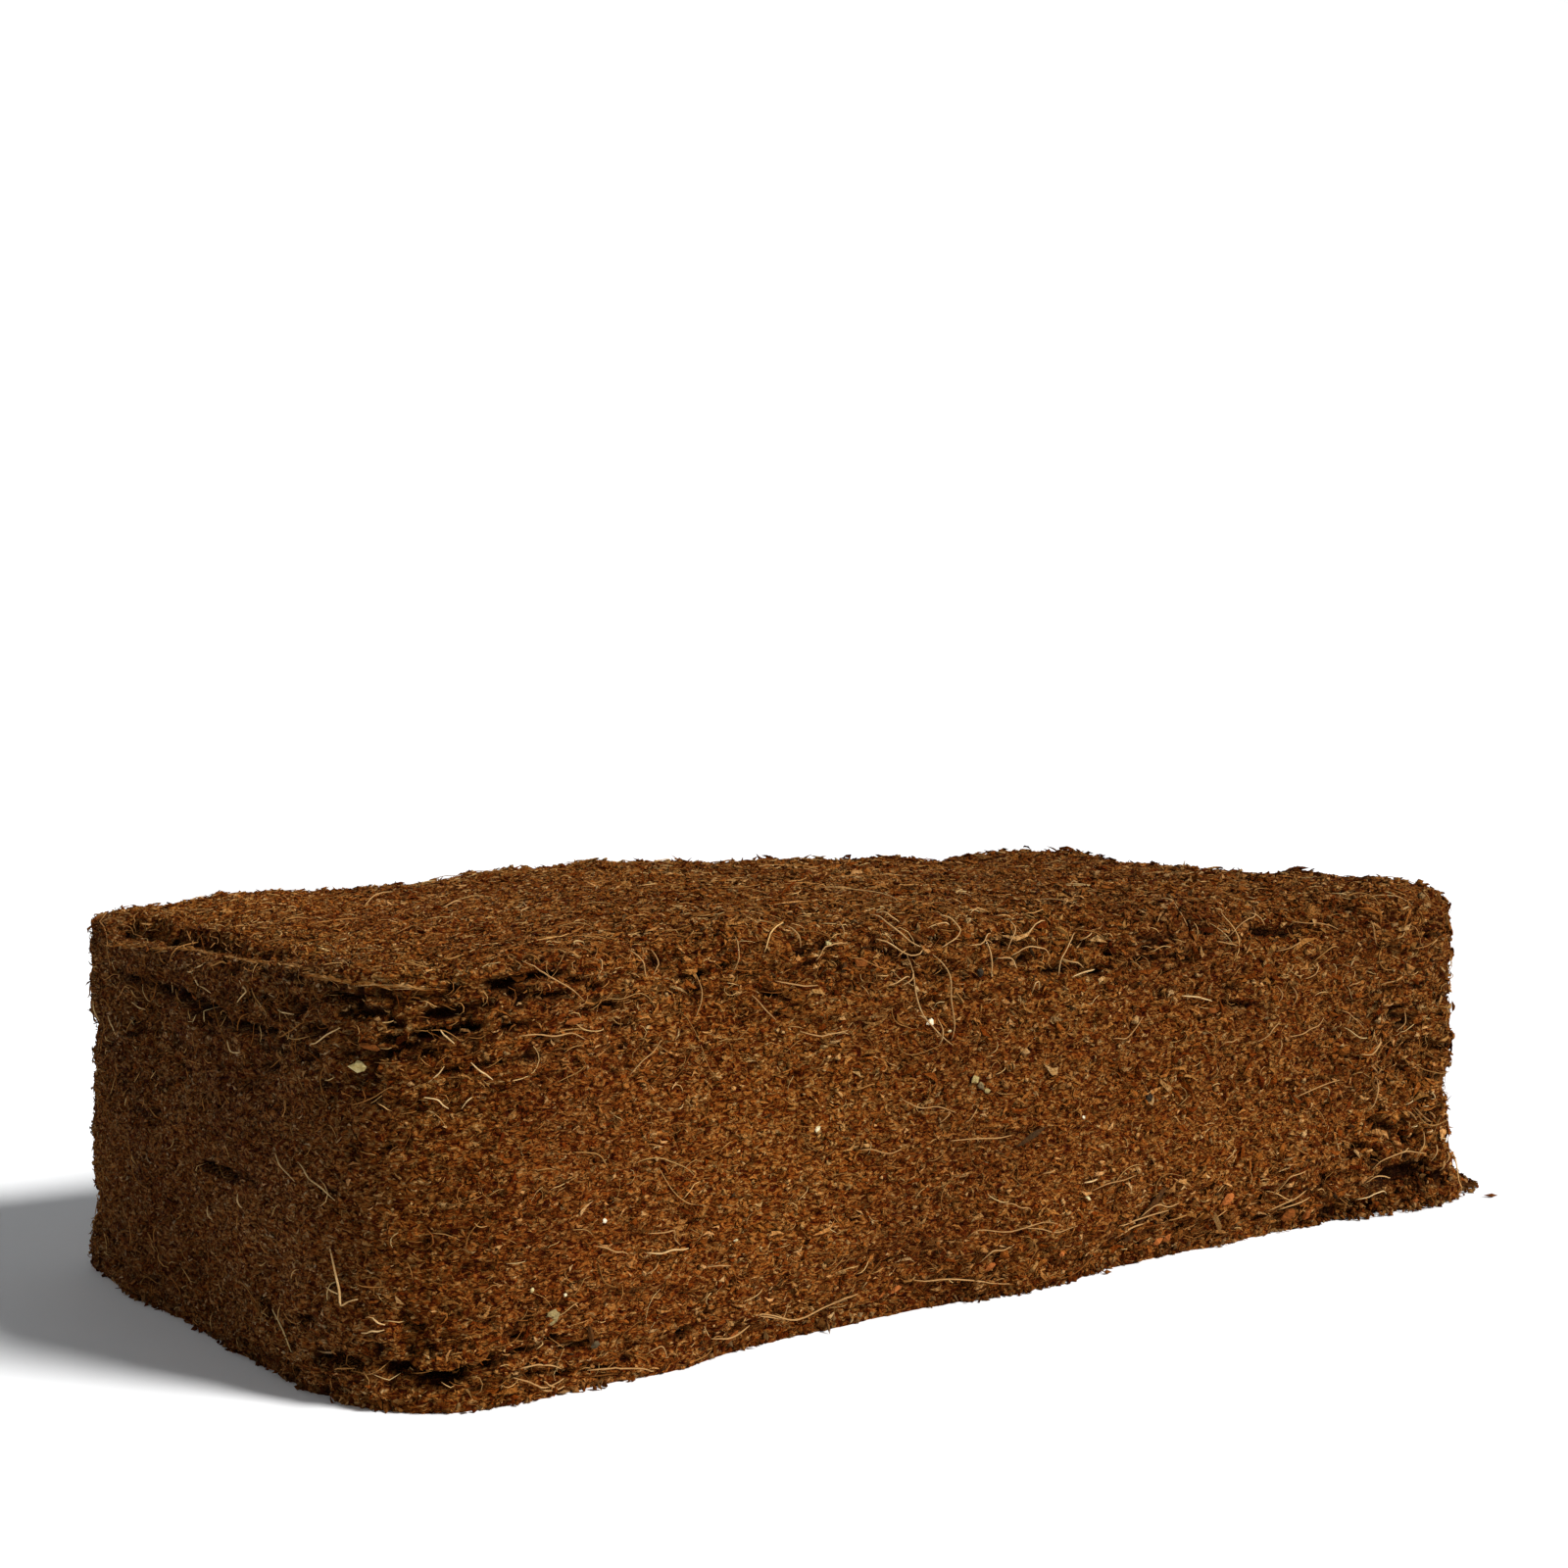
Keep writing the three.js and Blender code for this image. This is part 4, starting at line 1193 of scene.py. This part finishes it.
def lying_frames(rng, points, normals, spread, tilt):
    """Three axes for each point: along the beds, across them, and out of the skin. The first turns by a
    random angle of the given spread, and all of them tilt a little."""
    level = np.cross([0.0, 0.0, 1.0], normals)
    on_top = np.linalg.norm(level, axis=1) < LEVEL_SLOPE
    level[on_top] = np.cross(np.cross(normals, along_rim(points)), normals)[on_top]
    level = unit(level) * rng.choice([-1.0, 1.0], len(normals))[:, None]
    across = np.cross(normals, level)
    angle = rng.normal(0, spread, len(normals))[:, None]
    first = level * np.cos(angle) + across * np.sin(angle)
    out = unit(normals + tilt * rng.normal(size=normals.shape))
    second = unit(np.cross(out, first))
    return np.stack([np.cross(second, out), second, out], axis=2)


def varied(rng, middles, spreads, count):
    """Random sizes in three directions round the middle ones. spreads are those of their logarithms."""
    return np.exp(rng.normal(np.log(middles), spreads, (count, 3)))


def strewn(rng, form, points, frames, sizes, jitter):
    """Copies of one small closed form, each with its own place, axes, size and shape."""
    shape, faces = form
    uneven = 1 + jitter * rng.normal(size=(len(points), len(shape), 3))
    shapes = shape[None] * sizes[:, None, :] * uneven
    return islands_of(np.einsum("nij,nmj->nmi", frames, shapes) + points[:, None], faces)


GAP_EMPTY = 0.35  # the depth in mm that few loose bits lie below


def out_of_gaps(skin):
    """A weight that keeps loose bits out of fissures and the gaps between beds."""
    return np.exp(-skin["depth"] / GAP_EMPTY)


def grade(points):
    """How coarse the grains are at each point."""
    return np.interp(points[:, 0], GRADE_X, GRADES)


GRAIN_TILT = 0.35  # how far the grains tilt out of the skin, in radians
GRAIN_RISE = 0.1  # how unevenly the grains stand, in mm
GRAIN_SHADE = 3.2  # how much more painted shade a grain gets for each mm that it stands lower
GRAIN_SPREAD, GRAIN_SHAPE_SPREAD = 0.26, 0.2  # of the logarithms of the whole size and of each direction
CLOSER_POWER = -1.5  # of the grade: grains lie closer where they are finer


def make_grains(skin, name, seed, form, count, sizes, spread, lift, jitter, smooth, weight=1.0):
    """One piece of pith grains. sizes are the middle half-sizes along, across and out, in mm."""
    rng = np.random.default_rng(seed)
    closer = grade(skin["vertices"]) ** CLOSER_POWER
    points, normals, hollow = scatter(skin, rng, count, out_of_gaps(skin) * closer * weight)
    frames = lying_frames(rng, points, normals, spread, GRAIN_TILT)
    whole = grade(points)[:, None] * np.exp(rng.normal(0, GRAIN_SPREAD, (count, 1)))
    sizes = np.array(sizes) * whole * np.exp(rng.normal(0, GRAIN_SHAPE_SPREAD, (count, 3)))
    rise = rng.normal(0, GRAIN_RISE, count)
    points = points + (lift + rise)[:, None] * normals
    made = strewn(rng, form, points, frames, sizes, jitter)
    # Painted shade: the skin's shade under each grain, darker still where the grain stands lower
    hollows = np.repeat(np.clip(hollow - GRAIN_SHADE * rise, 0, 1), len(form[0]))
    material = island_material(name, PITH, DRY, MATT, mottle=0.4, wrinkled=WRINKLED)
    make_piece(name, *made, hollows, material, smooth)


CHIPS = 2600
CHIPS_LEAST = 0.03  # how many lie where the skin is pressed, against 1 where it is loose
CHIP_SIZES, CHIP_SPREADS = (0.75, 0.22, 0.13), (0.3, 0.25, 0.3)
CHIP_LIFT = 0.15


def make_chips(skin):
    """Husk chips, mostly in the loose places."""
    rng = np.random.default_rng(23)
    weight = out_of_gaps(skin) * (CHIPS_LEAST + skin["loose"] ** 2)
    points, normals, hollow = scatter(skin, rng, CHIPS, weight)
    frames = lying_frames(rng, points, normals, spread=0.5, tilt=GRAIN_TILT)
    sizes = varied(rng, CHIP_SIZES, CHIP_SPREADS, CHIPS) * grade(points)[:, None]
    made = strewn(rng, CRUMB, points + CHIP_LIFT * normals, frames, sizes, jitter=0.22)
    # the skin's painted shade under each chip
    hollows = np.repeat(hollow, len(CRUMB[0]))
    material = island_material("husk", HUSK, DRY, MATT, mottle=0.4, wrinkled=WRINKLED)
    make_piece("husk_chips", *made, hollows, material, smooth=True)


def picture_frames(normals, angles):
    """Three axes for each point: along the skin at an angle to the photograph's level, across, and out."""
    right, up, _ = camera_axes()
    turn = np.radians(angles)[:, None]
    return frames_on(normals, np.cos(turn) * right + np.sin(turn) * up)


PLACED_LEAST = 0.5  # the least height of a placed stone or flake over the floor, in mm
PLACED_RISE = 0.25  # how far its middle lies outside the skin


def make_placed(skin, name, seed, form, table, stops, roughness, specular):
    """Stones or flakes that the photograph shows, pressed a little into the skin."""
    rng = np.random.default_rng(seed)
    pixels, sizes, angles, tones = zip(*table)
    places, normals = seen_at(skin["tree"], pixels)
    places[:, 2] = np.maximum(places[:, 2], PLACED_LEAST)
    frames = picture_frames(normals, np.array(angles))
    made = strewn(rng, form, places + PLACED_RISE * normals, frames, np.array(sizes), jitter=0.22)
    tones = np.repeat(np.array(tones), len(form[0]))
    material = island_material(name, stops, roughness, specular, mottle=0.35, chosen=True, wrinkled=0.5)
    make_piece(name, *made, np.zeros(len(tones)), material, tone=tones)


FOOT_CRUMBS = 2200
FOOT_BAYS = (9.0, 71)  # size of the row's lumps in mm, and their seed
FOOT_CROWD = (0.08, 1)  # how crowded the row is at its barest and at its fullest
FOOT_AWAY = (0.15, 0.6)  # how far the crumbs lie outside the foot in mm, and the spread of that
FOOT_STRAY = 0.3
FOOT_LEVELS = (0.1, 0.5)  # the heights of their middles
FOOT_PILE = 1.2  # how much higher some lie next to the block
FOOT_PILE_REACH = 0.2


def row_of_crumbs(rng, skin):
    """Places for crumbs in a ragged row along the foot."""
    foot = skin["vertices"][skin["foot"]]
    ragged = np.clip(0.5 + lumpy(foot, *FOOT_BAYS), *FOOT_CROWD)
    chosen = rng.choice(len(foot), size=FOOT_CRUMBS, p=ragged / ragged.sum())
    outward = unit(skin["normals"][skin["foot"]][chosen] * [1, 1, 0])
    away = rng.normal(*FOOT_AWAY, FOOT_CRUMBS) * ragged[chosen]
    points = foot[chosen] + away[:, None] * outward
    points[:, :2] += rng.normal(0, FOOT_STRAY, (FOOT_CRUMBS, 2))
    points[:, 2] = rng.uniform(*FOOT_LEVELS, FOOT_CRUMBS)
    points[:, 2] += FOOT_PILE * rng.random(FOOT_CRUMBS) * (away < FOOT_PILE_REACH)
    return points


SPLINTERS = 380
SPLINTER_SIZES, SPLINTER_SPREADS = (1.3, 0.13, 0.12), (0.4, 0.25, 0.25)
SPLINTER_LIFT = 0.35
SPLINTER_TURN, SPLINTER_STRAY = 0.12, 0.22  # how far they turn and stray from the edge
SPLINTER_TONES = (0.45, 1)


def make_torn_edge(skin):
    """Splinters of pith along the torn edge of the peeled bed."""
    rng = np.random.default_rng(27)
    route, _ = seen_at(skin["tree"], TORN_EDGE)
    path = even_path(route, SPLINTERS)
    heading = unit(np.gradient(path, axis=0))
    along = unit(heading + rng.normal(0, SPLINTER_TURN, path.shape))
    stray = rng.normal(0, SPLINTER_STRAY, path.shape) * [1, 1, 0.5]
    places, normals = nearest_on(skin["tree"], path + stray)
    sizes = varied(rng, SPLINTER_SIZES, SPLINTER_SPREADS, SPLINTERS)
    frames = frames_on(normals, along)
    made = strewn(rng, SPINDLE, places + SPLINTER_LIFT * normals, frames, sizes, jitter=0.15)
    tones = np.repeat(rng.uniform(*SPLINTER_TONES, SPLINTERS), len(SPINDLE[0]))
    material = island_material("torn_edge", PITH, DRY, MATT, mottle=0.3, chosen=True)
    make_piece("torn_edge", *made, np.zeros(len(tones)), material, smooth=True, tone=tones)


HEAP_CROWD = 12  # how many crumbs a mound has for each square mm of its radius squared
HEAP_SHELL = 0.35  # the smaller, the more of them lie at the mound's surface
HEAP_LEAST = 0.2  # the least height of their middles, in mm


def heaped_crumbs(rng):
    """Places for crumbs on and in the mounds of the heap."""
    places = []
    for x, y, radius, height in HEAP:
        count = round(HEAP_CROWD * radius**2)
        away = radius * np.sqrt(rng.random(count))
        angle = rng.uniform(0, 2 * math.pi, count)
        lift = height * (1 - (away / radius) ** 2) * rng.random(count) ** HEAP_SHELL
        level = [x + away * np.cos(angle), y + away * np.sin(angle)]
        places.append(np.stack([*level, lift + HEAP_LEAST], axis=1))
    return np.concatenate(places)


CRUMB_SIZES, CRUMB_SPREAD = (0.5, 0.34, 0.26), 0.32
CRUMB_SHADES = (0.4, 0.9)  # how dark the crumbs are, partly in their own colour and partly as painted shade
LONE_HEIGHT, LONE_SHADE, LONE_ANGLE = 0.35, 0.5, 4.0  # the angle in degrees to the photograph's level
# Painted shade inside a mound, as a fully darkened core: its place in the mound's height, and its
# half-sizes against the mound's
CORE_LEVEL, CORE_WIDTH, CORE_HEIGHT = 0.3, 0.8, 0.4


def make_crumbs(skin):
    """Crumbs that broke off, dark partly in their own colour and partly as painted shade: a ragged row
    along the foot, a heap at the right end with a darkened core in each mound, and a few alone.
    """
    rng = np.random.default_rng(26)
    points = np.concatenate([row_of_crumbs(rng, skin), heaped_crumbs(rng)])
    count = len(points)
    normals = unit(rng.normal(size=(count, 3)))
    sizes = varied(rng, CRUMB_SIZES, CRUMB_SPREAD, count)
    frames = lying_frames(rng, points, normals, spread=1.5, tilt=0.3)
    hollow = rng.uniform(*CRUMB_SHADES, count)
    level = picture_frames(np.array([[0, 0, 1.0]]), np.array([LONE_ANGLE]))
    added = []
    for x, y, along, across in LONE_CRUMBS:
        added.append(((x, y, LONE_HEIGHT), (along, across, LONE_HEIGHT), LONE_SHADE))
    for x, y, radius, high in HEAP:
        wide = CORE_WIDTH * radius
        added.append(((x, y, CORE_LEVEL * high), (wide, wide, CORE_HEIGHT * high), 1))
    for place, size, dark in added:
        points = np.append(points, [place], axis=0)
        sizes = np.append(sizes, [size], axis=0)
        frames = np.append(frames, level, axis=0)
        hollow = np.append(hollow, dark)
    made = strewn(rng, NUGGET, points, frames, sizes, jitter=0.25)
    hollows = np.repeat(hollow, len(NUGGET[0]))
    material = island_material("foot_crumbs", PITH, DRY, MATT, mottle=0.4)
    make_piece("foot_crumbs", *made, hollows, material)


# Fibres

RING = 3  # sides of a fibre
TIP_SHARE, TIP_ANGLE = 0.35, 0.12  # a fibre's thickness at its tips, and how soon it tapers
TIP_POWER, ARCH_POWER = 0.6, 0.8  # the smaller, the fuller its ends and the arch that it makes
ARCH_SHARES = (0.1, 1)  # how much of its lift an arch has
TURN_KEPT = 0.85  # how much of its turn a creeping fibre keeps from step to step
TAILS = 0.4  # the share of fibres with an end that stands up
TAIL_LIFT = 1.5
FIBRE_CLEAR = 0.1  # brings a fibre clear of the skin


def nearest_on(tree, points):
    """The nearest point of a skin to each point, and the skin's normal there."""
    found = [tree.find_nearest(Vector(p))[:2] for p in points.tolist()]
    return np.array([f[0] for f in found]), np.array([f[1] for f in found])


def crawl(rng, tree, starts, normals, lengths, steps, spread, curl, wander):
    """Paths that creep over the skin, each with its own curl: places and normals, one row for each path."""
    heading = lying_frames(rng, starts, normals, spread, 0.0)[:, :, 0]
    here, out = starts, normals
    turn = rng.normal(0, curl, len(starts))
    places, outs = [here], [out]
    step = (lengths / (steps - 1))[:, None]
    for _ in range(steps - 1):
        turn = TURN_KEPT * turn + rng.normal(0, wander, len(starts))
        angle = turn[:, None] * step
        heading = heading * np.cos(angle) + np.cross(out, heading) * np.sin(angle)
        here, out = nearest_on(tree, here + heading * step)
        heading = square_to(out, heading)
        places.append(here)
        outs.append(out)
    return np.stack(places, axis=1), np.stack(outs, axis=1)


def tubes(centres, outs, radii):
    """Closed thin tubes along rows of points, tapered at both ends."""
    count, steps, _ = centres.shape
    along = unit(np.gradient(centres, axis=1))
    up = square_to(along, outs)
    side = np.cross(along, up)
    angles = np.arange(RING) * 2 * math.pi / RING
    swell = np.sin(np.linspace(TIP_ANGLE, math.pi - TIP_ANGLE, steps)) ** TIP_POWER
    taper = TIP_SHARE + (1 - TIP_SHARE) * swell
    radius = radii[:, None] * taper[None]
    rings = [up * math.cos(t) + side * math.sin(t) for t in angles]
    vertices = centres[:, :, None] + np.stack(rings, axis=2) * radius[:, :, None, None]
    faces = []
    for k in range(steps - 1):
        for i in range(RING):
            j = (i + 1) % RING
            a, b, c, d = k * RING + i, k * RING + j, (k + 1) * RING + j, (k + 1) * RING + i
            faces += [(a, b, c), (a, c, d)]
    last = (steps - 1) * RING
    faces += [(0, 2, 1), (last, last + 1, last + 2)]
    return islands_of(vertices.reshape(count, steps * RING, 3), np.array(faces)[:, ::-1])


def make_fibres(skin, name, seed, count, steps, lengths, radii, spread, curl, wander, lift, weight):
    """Loose fibres that lie on the skin. lengths and radii are each a middle value and its spread."""
    rng = np.random.default_rng(seed)
    points, normals, _ = scatter(skin, rng, count, out_of_gaps(skin) * weight)
    lengths = lengths[0] * np.exp(rng.normal(0, lengths[1], count))
    radii = radii[0] * np.exp(rng.normal(0, radii[1], count))
    places, outs = crawl(rng, skin["tree"], points, normals, lengths, steps, spread, curl, wander)
    arch = np.sin(np.linspace(0, math.pi, steps))[None] ** ARCH_POWER
    rise = rng.uniform(*ARCH_SHARES, count)[:, None] * lift * arch
    bent = rng.uniform(-TAIL_LIFT, TAIL_LIFT, count)[:, None]
    tail = np.linspace(-1, 1, steps)[None] ** 3 * lift * bent
    rise += np.where(rng.random(count) < TAILS, 1, 0)[:, None] * np.maximum(tail, 0)
    centres = places + outs * (rise[:, :, None] + FIBRE_CLEAR)
    made = tubes(centres, outs, radii)
    hollows = np.zeros(len(made[0]))
    material = island_material(name, FIBRE, roughness=0.9, specular=0.05, mottle=0.2, patchy=False)
    make_piece(name, *made, hollows, material, smooth=True)


PLACED_STEPS = 14
PLACED_LIFT = 0.4  # brings a placed fibre clear of the grains
PLACED_BENDS = 5
PLACED_WAVER = 0.025  # how far a placed fibre's bends stray from its route, against its span


def even_path(points, steps):
    """Even steps along a route of a few points, with its corners a little rounded."""
    along = np.append(0, np.cumsum(np.linalg.norm(np.diff(points, axis=0), axis=1)))
    path = np.stack([np.interp(np.linspace(0, along[-1], steps), along, axis) for axis in points.T], axis=1)
    path[1:-1] = (path[:-2] + 2 * path[1:-1] + path[2:]) / 4
    return path


def make_placed_fibres(skin):
    """The fibres that stand out in the photograph."""
    centres, outs, radii, tones = [], [], [], []
    rng = np.random.default_rng(32)
    arch = np.sin(np.linspace(0, math.pi, PLACED_STEPS))
    for radius, rise, tone, routes in PLACED_FIBRES:
        for pixels in routes:
            path = even_path(seen_at(skin["tree"], pixels)[0], PLACED_STEPS)
            span = np.linalg.norm(path[-1] - path[0])
            strays = rng.normal(0, PLACED_WAVER * span, (PLACED_BENDS, 3))
            places, normals = nearest_on(skin["tree"], path + even_path(strays, PLACED_STEPS))
            centres.append(places + normals * (PLACED_LIFT + rise * arch)[:, None])
            outs.append(normals)
            radii.append(radius)
            tones.append(tone)
    made = tubes(np.array(centres), np.array(outs), np.array(radii))
    tones = np.repeat(tones, PLACED_STEPS * RING)
    material = island_material(
        "placed_fibres", STRAW, roughness=0.85, specular=0.04, mottle=0.3, chosen=True
    )
    make_piece("placed_fibres", *made, np.zeros(len(tones)), material, smooth=True, tone=tones)


# The studio

FLOOR_FLAT = 1.4  # radius of the floor's flat part, in metres like the rest of the studio
FLOOR_RIM = 6.0
FLOOR_RISE = 2.3
FLOOR_POWER = 2.2  # the larger, the more slowly it starts to rise
FLOOR_INNER = [0.4, 0.9]  # the rings of its flat part
FLOOR_TURNS, FLOOR_STEPS = 96, 16
FLOOR_GREY = (0.88, 0.88, 0.88, 1)
SKY, SKY_STRENGTH = (0.93, 1, 1.06, 1), 0.14
KEY_FROM = (0.42, -0.7, 0.72)
KEY_ANGLE, KEY_STRENGTH = 15, 5.2  # the sun's width in degrees, and its strength


def make_floor():
    """A pale bowl: flat under and far around the block, rising smoothly far out."""
    turns = FLOOR_TURNS
    wide = FLOOR_RIM - FLOOR_FLAT
    radii = FLOOR_INNER + [FLOOR_FLAT + wide * i / FLOOR_STEPS for i in range(FLOOR_STEPS + 1)]
    vertices, faces = [(0, 0, 0)], []
    for radius in radii:
        rise = FLOOR_RISE * max(0, (radius - FLOOR_FLAT) / wide) ** FLOOR_POWER
        for i in range(turns):
            angle = 2 * math.pi * i / turns
            vertices.append((radius * math.cos(angle), radius * math.sin(angle), rise))
    for i in range(turns):
        faces.append((0, 1 + i, 1 + (i + 1) % turns))
    for ring in range(len(radii) - 1):
        start = 1 + ring * turns
        for i in range(turns):
            j = (i + 1) % turns
            faces.append((start + i, start + turns + i, start + turns + j, start + j))
    mesh = bpy.data.meshes.new("floor")
    mesh.from_pydata(vertices, [], faces)
    mesh.polygons.foreach_set("use_smooth", np.full(len(faces), True))
    nodes = Nodes("floor")
    nodes.surface(FLOOR_GREY, roughness=0.9, specular=0.1)
    mesh.materials.append(nodes.material)
    floor = in_scene("floor", mesh)


def make_sun(name, towards, angle, strength):
    """A soft light from far away. towards points from the block to the light."""
    light = bpy.data.lights.new(name, "SUN")
    light.angle = math.radians(angle)
    light.energy = strength
    turn_towards(in_scene(name, light), towards, "Z")


def make_studio():
    scene = bpy.context.scene
    scene.world = bpy.data.worlds.new("studio")
    scene.world.use_nodes = True
    background = scene.world.node_tree.nodes["Background"]
    background.inputs["Color"].default_value = SKY
    background.inputs["Strength"].default_value = SKY_STRENGTH
    scene.view_settings.view_transform = "Standard"
    make_floor()
    make_sun("key", KEY_FROM, KEY_ANGLE, KEY_STRENGTH)


def make_camera():
    data = bpy.data.cameras.new("camera")
    data.sensor_width = SENSOR
    data.lens = CAMERA_FOCUS / PICTURE * SENSOR
    data.clip_start = 0.01
    camera = in_scene("camera", data)
    camera.location = CAMERA_PLACE * MM
    turn_towards(camera, camera_axes()[2], "-Z")
    bpy.context.scene.camera = camera


make_camera()
make_studio()
skin = make_body()
loose = skin["loose"]
make_grains(
    skin, "pith_grains_fine", 20, SPINDLE, 30000, (0.54, 0.21, 0.17),
    spread=0.5, lift=0.03, jitter=0.2, smooth=False,
)
make_grains(
    skin, "pith_grains_coarse", 21, CRUMB, 16000, (0.58, 0.3, 0.18),
    spread=0.5, lift=0.06, jitter=0.26, smooth=True,
)
make_grains(
    skin, "pith_curls", 22, CURL, 13500, (1.0, 0.18, 0.15),
    spread=0.45, lift=0.1, jitter=0.22, smooth=False, weight=0.6 + loose,
)
make_chips(skin)
make_placed(skin, "placed_stones", 24, PEBBLE, PLACED_STONES, STONE, roughness=0.8, specular=0.06)
make_placed(skin, "placed_flakes", 25, PEBBLE, PLACED_FLAKES, FLAKE, DRY, MATT)
make_torn_edge(skin)
make_crumbs(skin)
make_fibres(
    skin, "fibres_short", 30, 5400, steps=5, lengths=(2.3, 0.3), radii=(0.065, 0.2),
    spread=0.35, curl=0.4, wander=0.4, lift=0.25, weight=0.5 + loose,
)
make_fibres(
    skin, "fibres_long", 31, 700, steps=12, lengths=(5.2, 0.35), radii=(0.08, 0.22),
    spread=0.35, curl=0.05, wander=0.15, lift=0.6, weight=0.12 + loose,
)
make_placed_fibres(skin)
